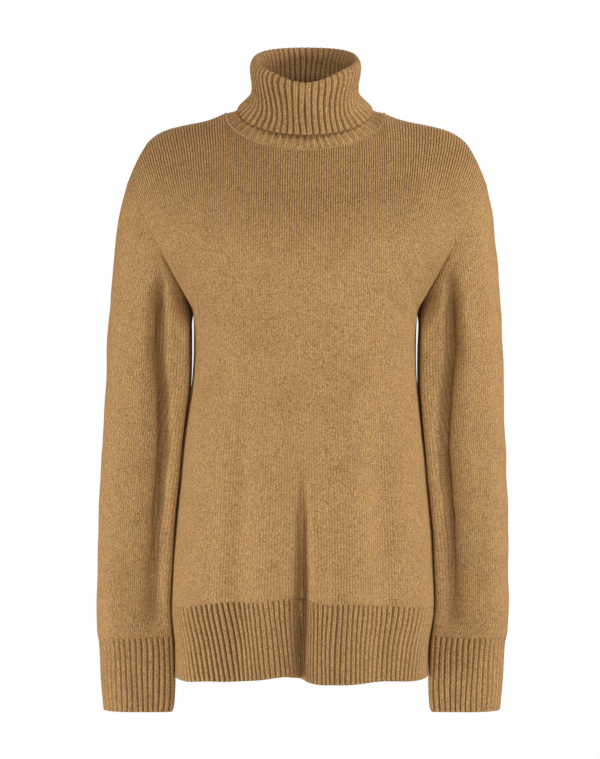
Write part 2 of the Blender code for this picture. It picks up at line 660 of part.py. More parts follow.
def make_collar(name):
    """The ribbed collar: one cloth from the neck seam up, over the fold and down to its free edge."""
    count = COLLAR_RIBS * POINTS_PER_RIB
    turns = [360.0 * k / count for k in range(count)]

    def base(station, angle):
        if station > 0.0:
            return collar_point(station, angle)
        seam = neck_seam_point(angle)
        return seam + (collar_point(1.0, angle) - seam).normalized() * SEAM_GAP

    face, hidden = [], []
    for station in COLLAR_FACE_STATIONS:
        raise_by = RIB_RAISE if station > 0 else 0.0
        face.append([
            base(station, a) + collar_normal(station, a) * (RIB_THICKNESS + rib_raise(j, raise_by))
            for j, a in enumerate(turns)
        ])
    for station in COLLAR_BAND_STATIONS:
        raise_by = BAND_RIB_RAISE if 0 < station < COLLAR_BAND_STATIONS[-1] else 0.0
        hidden.append([
            base(station, a) - collar_normal(station, a) * rib_raise(j, raise_by) for j, a in enumerate(turns)
        ])
    for station in COLLAR_HIDDEN_STATIONS:
        hidden.append([base(station, a) for a in turns[::POINTS_PER_RIB]])
    cloth_piece(name, rib, face, hidden, closed=True)


for old in list(bpy.data.objects):
    bpy.data.objects.remove(old)

garment = bpy.data.collections.new("roll_neck_pullover")
bpy.context.scene.collection.children.link(garment)
jersey = cloth_material("cashmere_jersey", (0.42, 0.25, 0.11), 0.9)
rib = cloth_material("cashmere_rib", (0.36, 0.21, 0.09), 0.92)

make_panel("front", -1.0)
make_panel("back", 1.0)
make_sleeve("sleeve_left", 1.0)
make_sleeve("sleeve_right", -1.0)
make_cuff("cuff_left", 1.0)
make_cuff("cuff_right", -1.0)
make_hem("hem_front", -1.0)
make_hem("hem_back", 1.0)
make_collar("roll_collar")
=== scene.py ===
"""A roll-neck pullover in knitted cashmere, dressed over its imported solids.

Each knitted piece is a fine shell on its solid's form, from the same sections and folds, with finer ribs,
rounded edges and small creases. Sizes are in millimetres, apart from the studio's, and meshes are in
metres. +Z is up, the front faces -Y, and +X is the wearer's left.
"""

import math
from collections import namedtuple

import bpy
import numpy as np
from bpy.props import FloatProperty, FloatVectorProperty, PointerProperty
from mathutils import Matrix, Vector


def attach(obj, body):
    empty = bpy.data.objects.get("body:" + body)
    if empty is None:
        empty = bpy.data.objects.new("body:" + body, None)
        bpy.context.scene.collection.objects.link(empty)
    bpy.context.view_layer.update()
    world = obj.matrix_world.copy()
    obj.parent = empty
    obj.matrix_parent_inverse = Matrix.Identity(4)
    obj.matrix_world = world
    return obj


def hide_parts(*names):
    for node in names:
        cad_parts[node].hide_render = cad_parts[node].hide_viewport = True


bl_info = {
    "name": "Roll-neck pullover",
    "version": (1, 0, 0),
    "blender": (4, 5, 0),
    "location": "3D View > Sidebar > Pullover",
    "description": "Knits a ribbed roll-neck pullover over its packed frame",
    "category": "Object",
}

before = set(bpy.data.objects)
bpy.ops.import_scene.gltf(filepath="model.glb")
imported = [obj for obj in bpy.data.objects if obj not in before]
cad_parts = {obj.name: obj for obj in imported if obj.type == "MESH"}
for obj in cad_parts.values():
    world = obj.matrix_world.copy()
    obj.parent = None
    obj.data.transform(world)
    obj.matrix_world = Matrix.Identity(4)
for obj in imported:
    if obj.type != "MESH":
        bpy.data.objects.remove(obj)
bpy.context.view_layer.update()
METRES = 0.001


def named_rows(columns, *rows):
    """A table whose columns have names."""
    row = namedtuple("Row", columns)
    return tuple(row(*values) for values in rows)


# Cloth and seams
JERSEY_THICKNESS = 2.6
RIB_THICKNESS = 2.4
SEAM_GAP = 0.12
EDGE_RADIUS = 1.1  # how far from a free edge the cloth rounds off
SEAM_RADIUS = 0.4  # and from an edge that is linked to another piece
SEAM_SHADE = 0.12  # painted shade along a seam, which makes it look deep, where 1 is the painted shade at the bottom of a rib's groove
NECK_SEAM_SHADE = 0.8  # and the painted shade along the neck seam, between its stitches
NECK_SHADE_REACH = 2.2  # how far that one reaches down the panels, and up the collar's band
BAND_SHADE_REACH = 1.8
EDGE_ROWS = (0.0, 0.12, 0.35, 0.7, 1.1, 1.8)  # where rows lie near such an edge

# Heights of the seams
UNDERARM_HEIGHT = -240.0
HEM_RIB_TOP = -580.0
HEM_BOTTOM = -672.0
CUFF_RIB_TOP = -632.0
CUFF_BOTTOM = -719.0

# Where the armhole seam starts and ends, seen from the front
UNDERARM_WIDTH = 133.5
SHOULDER_TIP_WIDTH = 215.5
SHOULDER_TIP_HEIGHT = -88.0
ARMHOLE_RISE = SHOULDER_TIP_HEIGHT - UNDERARM_HEIGHT
ARMHOLE_SPREAD = SHOULDER_TIP_WIDTH - UNDERARM_WIDTH

# Ribs, two knit stitches wide with one purl stitch between
HEM_RIBS_PER_PANEL = 69
CUFF_RIBS = 42
COLLAR_RIBS = 54
WALES_PER_RIB = 3
RIB_PHASES = (0.0, 0.05, 0.13, 0.27, 0.5, 0.73, 0.87, 0.95)  # where a rib's points lie across it
RIB_ROUNDNESS = 2.6  # how square the top of a rib is
RIB_DEPTH = 3.4  # from the top of a rib to the bottom of the groove
RIB_START = 2.2  # length over which the grooves sink in below a seam
HEM_SCALLOP = 0.5  # how far a rib hangs down past its grooves at the free edge
CUFF_SCALLOP = 0.2
COLLAR_SCALLOP = 0.7
SCALLOP_REACH = 6.0  # how far up from the edge it starts, and on the collar
COLLAR_SCALLOP_REACH = 5.0
CUFF_TILT = 3.5  # how much higher the cuff starts next to the body than on its outer side
HEM_GATHER = 0.14  # how much wider the hem's ribs spread at its sides than at its centre
CUFF_STRETCH = 0.6  # how much flatter the cuff's ribs are where it is stretched, on its outer side
CUFF_STRETCH_ANGLE = 40.0
CUFF_STRETCH_WIDTH = 42.0
COLLAR_RIB_RAISE = 2.0  # the roll's ribs above its cloth, and its grooves below
COLLAR_RIB_SINK = 1.5
COLLAR_BUNCH = 1.3  # how much wider its grooves are on one flank, where ribs crowd, with more painted shade in them
COLLAR_BUNCH_ANGLE = -62.0
COLLAR_BUNCH_WIDTH = 38.0
BAND_RIB_RAISE = 1.2  # the ridges of the band's other side
HEM_SLIDE = -0.9  # how far the hem hangs to one side of the body above it

# How finely the pieces are divided
NECK_WALES = 44
SHOULDER_WALES = 44
CHEST_ROWS = 64
ROWS_EVENED_BELOW = 16  # rows that are evened out where the chest leaves the underarm
ROWS_EVENED_ABOVE = 24
UNDERARM_PASSES = 30  # and how often they are, up and down, and all of the chest from side to side
CHEST_PASSES = 12
ROW_SPACING = 5.0
SLEEVE_ROWS = 118
SLEEVE_WALES = 160
RIB_ROW_SPACING = 3.4
NORMAL_TURN = 0.4  # degrees to each side over which a direction out of the cloth is measured
NORMAL_CLIMB = 0.02  # and the collar's stations up and down
SHARP_ANGLE = 55.0  # degrees past which an edge of the cloth is drawn sharp
UNEVEN_FADE = 22.0  # how far from a seam the cloth's unevenness reaches its full height

WIDE_COURSE_SHARE = 0.6  # share of the chest's rows below the one where its outer wales are counted
KNIT_WALE = 2.8  # width of a column of stitches on the pieces' maps
SLEEVE_GIRTH = 330.0  # the girth at which a sleeve's stitches have their full width
LINKING_STITCHES = 206  # round the neck seam
LINK_LENGTH = 3.4  # of one such stitch
LINK_THICKNESS = 1.3
LINK_LIFT = 0.2  # how far its middle stands out of the seam
LINK_LEAN = 1.3  # how steeply it crosses the seam

# The studio, in metres
CAMERA_X = -0.0048
CAMERA_HEIGHT = -0.322
FLOOR_HEIGHT = -1.45
FLOOR_RADIUS = 5.0

# Its soft square lights: where each stands, the height it aims at over the origin, its size, and its setting
LIGHTS = named_rows(
    "name x y z aim size setting",
    ("softbox_right", 3.05, -0.8, 0.1, CAMERA_HEIGHT, 1.3, "key"),
    ("softbox_left", -2.85, -0.8, -0.95, -0.6, 0.95, "fill"),
    ("front_light", 0.3, -4.2, 0.6, CAMERA_HEIGHT, 1.6, "front"),
    ("top_light", 0.3, -2, 2, CAMERA_HEIGHT, 1, "top"),
    ("back_light", 0.4, 3.2, 2, CAMERA_HEIGHT, 1.6, "back"),
)

NECK_WALE = 45.0  # the wale that meets the neck point, in degrees round the body from the centre

TORSO = named_rows(
    "height half_width front_depth back_depth squareness",
    (-680, 151.9, 114, 100, 0.95),
    (-630, 152.9, 114.5, 100, 0.92),
    (-580, 158.2, 115, 100, 0.90),
    (-466, 151.3, 115, 96, 0.87),
    (-379, 142.9, 115, 94, 0.79),
    (-328, 135.2, 116.5, 96, 0.71),
    (-280, 131.5, 119, 100, 0.62),
    (-240, 133.5, 120.5, 103, 0.55),
)

# The ridge of the shoulder, from the neck point to the shoulder tip
SHOULDER_RIDGE = named_rows(
    "half_width height",
    (95, -2.5),
    (105, -7.5),
    (116, -11.5),
    (130, -14.5),
    (146, -17),
    (162, -20.5),
    (174, -25),
    (184, -31),
    (192, -38.5),
    (198.5, -49),
    (204.3, -61),
    (209.8, -74),
    (SHOULDER_TIP_WIDTH, SHOULDER_TIP_HEIGHT),
)

# Each panel above the underarm: how far it stands out at its centre and its armhole, and how high its
# slope would rise over the middle of the neck
FRONT, BACK = named_rows("centre armhole neck_rise", (121.0, 66.0, 39.0), (106.0, 64.0, 74.0))
SHOULDER_POWER = 2.6  # how late the chest turns over to the shoulder
CROWN_POWER = 0.8  # how late the chest's depth falls off from the centre to the armhole
CHEST_FILL = 0.55  # share of the armhole's height over which the chest fills out
CENTRE_FILL_POWER = 2.0  # how slowly it starts to do so, at the centre and at the armhole
ARMHOLE_FILL_POWER = 0.6
ARMHOLE_FILL_FROM = 0.6  # share of the half width past which the armhole's power takes over
NECKLINE_POWER = 0.95  # how wide the bottom of the neckline's scoop is

# The collar's hidden side, from the neck seam up inside the roll, over the fold and down to the free edge
COLLAR = named_rows(
    "station half_width side_y front_y back_y front_z side_z back_z corner gather",
    (0, 95, 0, -98, 76, -54.5, -2.5, -8, 0, -0.22),  # neck seam
    (1, 84.5, -3, -95.5, 70, -44, -2, 5, 0, -0.22),  # band below the roll
    (2, 73.5, -8, -91.5, 61, -32, 0, 20, 0, -0.20),  # under the free edge
    (3, 62, -15, -86.5, 39, -13, 10, 42, 0, -0.10),  # foot of the stand
    (4, 57.5, -22, -82, 34, 5, 31, 60.5, 2, 0),  # middle of the stand
    (5, 58, -27, -83, 31.5, 16, 48.5, 70.5, 3.5, 0.10),  # top of the stand
    (6, 60.5, -28, -85, 32.5, 23, 57, 77.5, 4.5, 0.12),  # fold
    (7, 62.3, -29, -87, 34.5, 16, 49, 70.5, 4, 0.12),  # just over the fold
    (8, 59.5, -22, -85.5, 41, -1, 26, 56, 2, 0),  # waist of the roll
    (9, 63.5, -15, -90.5, 53.5, -20, 12, 38, 0, -0.10),  # flare
    (10, 78.5, -7, -97.5, 69, -37, -2, 24.5, 0, -0.20),  # free edge
)
SEAM_BLEND = 2.5  # stations over which the collar's rings leave the neckline's own outline
FOLD_STATION = 6.0
BAND_END = 2.4  # the station where the band passes under the roll's free edge
NECK_SEAM_LEAN = 0.4  # how much the neck seam's edge faces sideways at the sides of the neck
NECK_SEAM_TILT = 0.35  # how much it faces up at the front
NECK_POINT_TILT = 1.0  # and at the neck point

# Folds of the body, by the angle round it from the centre front, and the heights where each starts and is
# full. A negative depth sinks in.
BODY_FOLDS = named_rows(
    "angle top full depth width",
    (-0.7, -395, -575, -24, 2.6),
    (7, -400, -580, 7.5, 4.5),
    (-17, -360, -600, 4.5, 9),
    (-29, -300, -430, -5.5, 7),
    (38, -300, -440, -6, 7.5),
    (20, -300, -430, 3.5, 7.5),
    (62, -400, -600, 2.5, 9),
    (-58, -400, -600, 2.5, 10),
    (166, -400, -640, -7, 6),
    (181, -380, -620, 4, 8),
    (199, -420, -650, -6, 7),
    (-135, -420, -640, 3, 10),
    (135, -420, -640, 3, 10),
)

# The sleeve seen from the front: its outer line by height, and its inner line by height
SLEEVE_OUTER = named_rows(
    "height half_width",
    (-719, 238.6),
    (-683, 242),
    (-640, 244.3),
    (-624, 247.2),
    (-596, 247.7),
    (-481, 246),
    (-366, 240.6),
    (-251, 236),
    (-174, 229.5),
    (-126, 224),
    (SHOULDER_TIP_HEIGHT, SHOULDER_TIP_WIDTH),
)
SLEEVE_INNER = named_rows(
    "height half_width",
    (-719, 154.6),
    (-700, 153.2),
    (-675, 152.9),
    (-640, 153.6),
    (-612, 156.7),
    (-594, 158.1),
    (-580, 158),
    (-520, 155),
    (-466, 151.1),
    (-430, 147.5),
    (-379, 142.7),
    (-345, 138.3),
    (-320, 136.8),
    (-290, 136.5),
    (-255, 136.6),
    (UNDERARM_HEIGHT, UNDERARM_WIDTH),
)
SLEEVE_DEPTH = named_rows(
    "height half_depth centre_y",
    (-719, 32, 10),
    (-632, 36, 11),
    (-600, 39, 11),
    (-480, 43, 9),
    (-360, 47, 6),
    (-250, 52, 3),
    (-88, 60, 0),
)
SLEEVE_DRIFT_TOP = -270.0  # between these heights its folds drift round it
SLEEVE_DRIFT_BOTTOM = -420.0
SLEEVE_CORNER = 0.5  # how far it reaches towards the body before it turns back
SLEEVE_FLATNESS = 0.8  # how flat the sleeve lies next to the body, from 0 for round to 1
SLEEVE_CALM_WIDTH = 28.0  # degrees to each side of its inner line where it has no small creases
SLEEVE_CAP_SHARE = 0.5  # share of the sleeve's length over which its rings turn level
SLEEVE_CAP_BEND = 1.6
SLEEVE_BLEND_SHARE = 0.24  # share of its length over which the armhole's outline rounds off

# Folds of a sleeve, by the angle round it: 0 at the outer line, 90 at the front and 180 at the body. Each
# one drifts round the sleeve on its way down.
SLEEVE_FOLDS = named_rows(
    "angle drift top full fade bottom depth width",
    (100.5, 15, -155, -225, -400, -620, -23, 5.8),
    (86, 8, -170, -240, -400, -600, 3, 14),
    (130, 6, -150, -215, -400, -600, 5, 14),
    (104, 15, -450, -530, -585, -628, -7, 12),
    (245, 0, -180, -250, -420, -580, -6, 13),
    (275, 0, -200, -260, -440, -600, 3, 16),
)

# How far the worn garment leans to one side, by height
SWAY = named_rows(
    "height shift",
    (-719, -2.7),
    (-640, -2.3),
    (-587, -1.4),
    (-500, -0.8),
    (-395, -0.5),
    (-340, 0.3),
    (-275, 1.3),
    (-184, 2),
    (-107, 3),
    (-50, 3.6),
    (0, 1.2),
    (80, 2.4),
)

# The hem's rib, by the angle round the body from the centre front: how far its top and bottom edges lie
# above their usual heights, and how deep its ribs are, less so where the cloth is stretched
HEM_LINE = named_rows(
    "angle top bottom rib_depth",
    (-90, -14, -4.6, 0.45),
    (-62, -11, -6.4, 0.8),
    (-48, -5.5, -4, 1.4),
    (-33, -1.8, -2.8, 1.45),
    (-18, -0.9, 0.8, 0.85),
    (-6, 3.6, 4.6, 1),
    (1, 1.5, -0.3, 1.1),
    (8, -2.6, -4, 1),
    (21, -3.6, -5.2, 0.85),
    (41, -7, -3.5, 0.8),
    (60, -10.9, -5.4, 0.8),
    (90, -14, -4.6, 0.5),
    (120, -9, -4, 0.9),
    (150, -3, -2, 1),
    (180, -1, -1, 1),
    (210, -3, -2, 1),
    (240, -9, -4, 0.9),
    (270, -14, -4.6, 0.45),
)
HEM_LINE_REACH = 90.0  # height above the rib over which the cloth takes up the edge's waves

# How far a rib of the hem swings sideways on its way down, in degrees round the body
FRONT_SWING = named_rows(
    "angle swing",
    (-90, 11),
    (-60, 8),
    (-30, 5),
    (-6, 3),
    (8, 0.5),
    (40, -0.5),
    (62, -4.5),
    (90, -11),
)
BACK_SWING = named_rows("angle swing", (-90.0, -11.0), (0.0, 0.0), (90.0, 11.0))

# Small creases, each a line seen from the front or back, given on the wearer's left and mirrored
PANEL_CREASES = named_rows(
    "x0 z0 x1 z1 depth width",
    (127, -268, 88, -212, -1.6, 6),
    (130, -240, 108, -176, -1.4, 5),
    (124, -300, 92, -262, -1.2, 7),
    (150, -205, 130, -150, -0.9, 6),
)
SLEEVE_CREASES = named_rows(
    "x0 z0 x1 z1 depth width",
    (138, -262, 160, -196, -2.4, 4.5),
    (141, -282, 172, -214, 1.6, 5),
    (139, -300, 163, -236, -2, 4),
    (142, -330, 168, -262, -1.4, 5),
    (214, -250, 242, -226, -0.9, 8),
    (205, -420, 243, -392, -1, 9),
    (160, -470, 205, -500, -1, 8),
    (200, -560, 240, -590, -0.8, 8),
)


# ---------------------------------------------------------------- the garment's form, in arrays


def ease(share):
    """0 to 1 with soft ends."""
    share = np.clip(share, 0.0, 1.0)
    return share * share * (3.0 - 2.0 * share)


def read(table, at):
    """The table's columns where its first one is `at`, smoothly between its rows."""
    rows = np.array(table, float)
    keys, last = rows[:, 0], len(rows) - 1
    before, after = np.maximum(np.arange(last + 1) - 1, 0), np.minimum(np.arange(last + 1) + 1, last)
    slopes = (rows[after] - rows[before]) / (keys[after] - keys[before])[:, None]
    at = np.asarray(at, float)
    low = np.clip(np.searchsorted(keys, at, side="right") - 1, 0, last - 1)
    span = (keys[low + 1] - keys[low])[..., None]
    t = (at - keys[low])[..., None] / span
    start, end = 2 * t**3 - 3 * t**2 + 1, 3 * t**2 - 2 * t**3
    leave, arrive = (t**3 - 2 * t**2 + t) * span, (t**3 - t**2) * span
    found = start * rows[low] + end * rows[low + 1] + leave * slopes[low] + arrive * slopes[low + 1]
    return type(table[0])(*np.moveaxis(found, -1, 0))


def points(x, y, z):
    """One array of points from their coordinates."""
    return np.stack(np.broadcast_arrays(x, y, z), axis=-1).astype(float)


def unit(vectors):
    """The same directions, one long."""
    return vectors / np.linalg.norm(vectors, axis=-1, keepdims=True)


def turned(angle, other):
    """The angle from one direction to another, from -180 to 180 degrees."""
    return (angle - other + 180.0) % 360.0 - 180.0


def from_front(angle, facing):
    """An angle from the panel's own centre, counted from the centre front."""
    return angle if facing < 0.0 else 180.0 - angle


def evenly(share, line, values):
    """The values that belong to a line's points, at a share of the way along it."""
    lengths = np.insert(np.cumsum(np.linalg.norm(np.diff(line, axis=0), axis=1)), 0, 0.0)
    return np.interp(share * lengths[-1], lengths, values)


def heading(angle):
    """How far an angle in degrees reaches to the side, and ahead."""
    return np.sin(np.radians(angle)), np.cos(np.radians(angle))


def bump(angle, middle, width):
    """1 at the middle, and less to both sides of it."""
    return np.exp(-((turned(angle, middle) / width) ** 2))


def body_folds(angle, height):
    """How far the body's folds stand out, or sink in where negative."""
    total = 0.0
    for fold in BODY_FOLDS:
        grown = ease((fold.top - height) / (fold.top - fold.full))
        total = total + fold.depth * grown * bump(angle, fold.angle, fold.width)
    return total


def torso_points(angle, height):
    """The body below the underarm, at an angle round it from the centre front."""
    section = read(TORSO, height)
    across, along = heading(angle)
    depth = np.where(along > 0.0, section.front_depth, section.back_depth)
    reach = np.sign(along) * np.abs(along) ** section.squareness
    out = body_folds(angle, height)
    slide = HEM_SLIDE * ease((HEM_RIB_TOP - height) / (HEM_RIB_TOP - HEM_BOTTOM))
    return points((section.half_width + out) * across + slide, -depth * reach - out * along, height)


def hem_line(angle):
    """The waves of the hem rib's two edges, at an angle round the body from the centre front."""
    return read(HEM_LINE, (angle + 90.0) % 360.0 - 90.0)


def settled(grid):
    """The same points once the garment leans to one side."""
    height = np.clip(grid[..., 2], SWAY[0].height, SWAY[-1].height)
    return grid + points(read(SWAY, height).shift, 0.0, 0.0)


def armhole_plane(height):
    """Half the body's width where the armhole seam passes a height."""
    share = (height - UNDERARM_HEIGHT) / ARMHOLE_RISE
    return UNDERARM_WIDTH + share * ARMHOLE_SPREAD


def ridge_height(width, panel):
    """The height that the panel's slope rises to: the shoulder's ridge or, near the neck, a line over it."""
    neck = SHOULDER_RIDGE[0]
    over_neck = neck.height + panel.neck_rise * (1.0 - (width / neck.half_width) ** 2) ** 2
    ridge = read(SHOULDER_RIDGE, np.clip(width, neck.half_width, SHOULDER_TIP_WIDTH)).height
    return np.where(width < neck.half_width, over_neck, ridge)


def body_depth(width, height, facing):
    """How far the body above the underarm stands out from the plane of the shoulder seams."""
    panel = FRONT if facing < 0.0 else BACK
    base = read(TORSO, UNDERARM_HEIGHT)
    share = (height - UNDERARM_HEIGHT) / ARMHOLE_RISE
    across = np.minimum(width / armhole_plane(height), 1.0)
    inward = np.maximum(1.0 - across**2, 0.0)
    bottom = (base.front_depth if facing < 0.0 else base.back_depth) * inward ** (base.squareness / 2.0)
    full = panel.armhole + (panel.centre - panel.armhole) * inward**CROWN_POWER
    sideways = ease((across - ARMHOLE_FILL_FROM) / (1.0 - ARMHOLE_FILL_FROM))
    power = CENTRE_FILL_POWER + (ARMHOLE_FILL_POWER - CENTRE_FILL_POWER) * sideways
    filled = np.sin(np.radians(90.0) * np.clip(share / CHEST_FILL, 0.0, 1.0)) ** power
    climbed = (height - UNDERARM_HEIGHT) / (ridge_height(width, panel) - UNDERARM_HEIGHT)
    roll = np.sqrt(1.0 - np.clip(climbed, 0.0, 1.0) ** SHOULDER_POWER)
    return (bottom + (full - bottom) * filled) * roll


def neckline_points(angle):
    """The neck seam, at an angle round the neck from the centre front, on the body's surface."""
    across, along = heading(angle)
    ring = COLLAR[0]
    to_side = np.where(along > 0.0, ring.front_z, ring.back_z) - ring.side_z
    x, z = ring.half_width * across, ring.side_z + to_side * np.abs(along) ** NECKLINE_POWER
    y = np.where(along > 0.0, -body_depth(np.abs(x), z, -1.0), body_depth(np.abs(x), z, 1.0))
    return points(x, np.where(np.abs(along) > 1e-4, y, 0.0), z)


def neck_turn(wales, facing):
    """The angle round the neck, from the centre front, at which a panel's wales meet it."""
    lean = np.clip(np.sin(np.radians(wales)) / math.sin(math.radians(NECK_WALE)), -1.0, 1.0)
    return from_front(np.degrees(np.arcsin(lean)), facing)


def neck_seam_normals(angle):
    """The direction out of the cloth that both sides of the neck seam share."""
    across, along = heading(angle)
    tilt = NECK_SEAM_TILT + (NECK_POINT_TILT - NECK_SEAM_TILT) * across**2
    return unit(points(NECK_SEAM_LEAN * across, -along, tilt))


def shoulder_seam(share):
    """The width and height of the shoulder seam, from the neck point at 0 to the shoulder tip at 1."""
    ridge = np.array(SHOULDER_RIDGE)
    width = evenly(share, ridge, ridge[:, 0])
    return width, read(SHOULDER_RIDGE, width).height


def chest_points(wales, share, facing):
    """The panel above the underarm: share 0 is the underarm's course and 1 the shoulder and neckline."""
    size = np.abs(wales)
    neck = neckline_points(neck_turn(size, facing))
    shoulder_width, shoulder_height = shoulder_seam((size - NECK_WALE) / (90.0 - NECK_WALE))
    at_neck = size <= NECK_WALE + 1e-6
    top_width = np.where(at_neck, neck[..., 0], shoulder_width)
    top_height = np.where(at_neck, neck[..., 2], shoulder_height)
    base = read(TORSO, UNDERARM_HEIGHT).half_width * np.sin(np.radians(size))
    width = base + share * (top_width - base)
    height = UNDERARM_HEIGHT + share * (top_height - UNDERARM_HEIGHT)
    depth = body_depth(width, height, facing) + SEAM_GAP / 2.0
    return points(np.sign(wales) * width, facing * depth, height)


def armhole_normals(turn, facing):
    """The direction out of the armhole's outline, in its plane, at an angle round it from the underarm."""
    up = unit(np.array([ARMHOLE_SPREAD, 0.0, ARMHOLE_RISE]))
    turn = np.radians(turn)[..., None]
    return unit(up * -np.cos(turn) + np.array([0.0, 1.0, 0.0]) * facing * np.sin(turn))


def sleeve_folds(angle, height):
    """How far a sleeve's folds stand out, or sink in where negative."""
    total = 0.0
    drifted = ease((SLEEVE_DRIFT_TOP - height) / (SLEEVE_DRIFT_TOP - SLEEVE_DRIFT_BOTTOM))
    for fold in SLEEVE_FOLDS:
        grown = ease((fold.top - height) / (fold.top - fold.full))
        left = 1.0 - ease((fold.fade - height) / (fold.fade - fold.bottom))
        across = bump(angle, fold.angle + fold.drift * drifted, fold.width)
        total = total + fold.depth * grown * left * across
    return total


def sleeve_toward(angle):
    """How far out a point round the sleeve lies, from -1 next to the body, where it is squarer, to 1."""
    toward = np.cos(np.radians(angle))
    return np.where(toward < 0.0, toward * (1.0 + SLEEVE_CORNER * (1.0 - toward**2)), toward)


def sleeve_points(outer_height, inner_height, angle, blend):
    """Points round the left sleeve: 0 degrees at its outer line, 90 at the front, 180 next to the body."""
    outer_width = read(SLEEVE_OUTER, outer_height).half_width
    inner_width = read(SLEEVE_INNER, inner_height).half_width
    toward, front = sleeve_toward(angle), np.sin(np.radians(angle))
    share = (1.0 + toward) / 2.0
    x = inner_width + (outer_width - inner_width) * share
    z = inner_height + (outer_height - inner_height) * share
    body = read(SLEEVE_DEPTH, z)
    seam_height = UNDERARM_HEIGHT + share * ARMHOLE_RISE
    seam_width = armhole_plane(seam_height)
    at_armhole = np.where(
        front >= 0.0, -body_depth(seam_width, seam_height, -1.0), body_depth(seam_width, seam_height, 1.0)
    )
    out = sleeve_folds(angle, z)
    flat = 1.0 - SLEEVE_FLATNESS * (1.0 - share)
    level = body.centre_y - body.half_depth * np.sign(front) * np.abs(front) ** flat - out * front
    return points(x + out * toward * blend, at_armhole + (level - at_armhole) * blend, z)


def collar_ring(ring, angle):
    """Points of a collar ring, at an angle round the neck from the centre front."""
    across, along = heading(angle)
    reach = np.where(along > 0.0, ring.side_y - ring.front_y, ring.back_y - ring.side_y)
    level = (ring.front_z + ring.back_z + 2.0 * ring.side_z) / 4.0
    tilt = (ring.front_z - ring.back_z) / 2.0
    saddle = (ring.front_z + ring.back_z - 2.0 * ring.side_z) / 4.0
    height = level + tilt * along + saddle * np.cos(np.radians(2.0 * angle))
    height = height + ring.corner * np.sin(np.radians(2.0 * angle)) ** 2 * (along > 0.0)
    return points(ring.half_width * across, ring.side_y - reach * along, height)


def collar_points(station, angle):
    """The hidden side of the collar's cloth, from the neck seam at station 0 to the free edge."""
    to_seam = np.maximum(1.0 - station / SEAM_BLEND, 0.0) ** 2
    to_neckline = neckline_points(angle) - collar_ring(COLLAR[0], angle)
    return collar_ring(read(COLLAR, station), angle) + to_neckline * to_seam[..., None]


def collar_normals(station, angle):
    """The direction from the hidden side of the collar's cloth to the side that shows on the roll."""
    round_it = collar_points(station, angle + NORMAL_TURN) - collar_points(station, angle - NORMAL_TURN)
    low = np.maximum(station - NORMAL_CLIMB, 0.0)
    high = np.minimum(station + NORMAL_CLIMB, COLLAR[-1].station)
    up_it = collar_points(high, angle) - collar_points(low, angle)
    leaving = ease(station / 0.6)[..., None]
    return unit(-unit(np.cross(round_it, up_it)) * leaving - neck_seam_normals(angle) * (1.0 - leaving))


# ---------------------------------------------------------------- helpers for grids of points


def distances(grid, axis):
    """How far each point lies along its row or column of the grid."""
    steps = np.linalg.norm(np.diff(grid, axis=axis), axis=2)
    return np.insert(np.cumsum(steps, axis=axis), 0, 0.0, axis=axis)


def from_ends(length, axis):
    """How far each point is from the nearer end of its row or column."""
    return np.minimum(length, np.take(length, [-1], axis=axis) - length)


def grid_normals(grid, closed, sign):
    """The direction out of a grid of points. sign turns it round where the grid runs the other way."""
    if closed:
        across = np.roll(grid, -1, axis=1) - np.roll(grid, 1, axis=1)
    else:
        across = np.gradient(grid, axis=1)
    return unit(np.cross(across, np.gradient(grid, axis=0)) * sign)


def relax(grid, axis, passes):
    """Evens out a grid along one direction, and leaves its ends where they are."""
    grid = np.moveaxis(grid, axis, 0).copy()
    for _ in range(passes):
        grid[1:-1] = (grid[:-2] + 2.0 * grid[1:-1] + grid[2:]) / 4.0
    return np.moveaxis(grid, 0, axis)


def rounding(distance, radius):
    """How far the cloth's face draws in, at a distance from its edge."""
    inside = np.clip(radius - distance, 0.0, radius)
    return radius - np.sqrt(radius**2 - inside**2)


def hills(grid, seed, height, shortest, longest):
    """Soft unevenness of hung cloth: waves that run in seeded directions."""
    random = np.random.default_rng(seed)
    waves = 14
    total = np.zeros(grid.shape[:-1])
    for _ in range(waves):
        direction = unit(random.normal(size=3) * (1.0, 1.0, 0.55))
        length = random.uniform(shortest, longest)
        total += np.sin(grid @ direction * (2.0 * math.pi / length) + random.uniform(0.0, 2.0 * math.pi))
    return total * height * math.sqrt(2.0 / waves)


def creases(grid, table):
    """How far the small creases sink in or stand out, seen from the front or back."""
    total = np.zeros(grid.shape[:-1])
    seen = np.stack([np.abs(grid[..., 0]), grid[..., 2]], axis=-1)
    for crease in table:
        start, end = np.array([crease.x0, crease.z0]), np.array([crease.x1, crease.z1])
        share = np.clip((seen - start) @ (end - start) / ((end - start) @ (end - start)), 0.0, 1.0)
        away = np.linalg.norm(seen - (start + share[..., None] * (end - start)), axis=-1)
        total += crease.depth * np.sin(math.pi * share) ** 0.7 * np.exp(-((away / crease.width) ** 2))
    return total


def rows_between(start, end, spacing):
    """Positions from start to end, close together at both ends and evenly spaced between."""
    length, sign = abs(end - start), math.copysign(1.0, end - start)
    inner = np.linspace(EDGE_ROWS[-1], length - EDGE_ROWS[-1], max(int(round(length / spacing)), 2))
    near = np.array(EDGE_ROWS[:-1])
    return start + sign * np.concatenate([near, inner, length - near[::-1]])


def rib_places(count, closed):
    """Places across a ribbed piece, counted in ribs, with the points of each rib."""
    places = (np.arange(count)[:, None] + np.array(RIB_PHASES)[None, :]).ravel()
    return places if closed else np.append(places, count)


def rib_form(places):
    """The height of a rib's face across it, from 0 in the groove to 1 on top."""
    return np.sqrt(1.0 - np.abs(2.0 * (places % 1.0) - 1.0) ** RIB_ROUNDNESS)


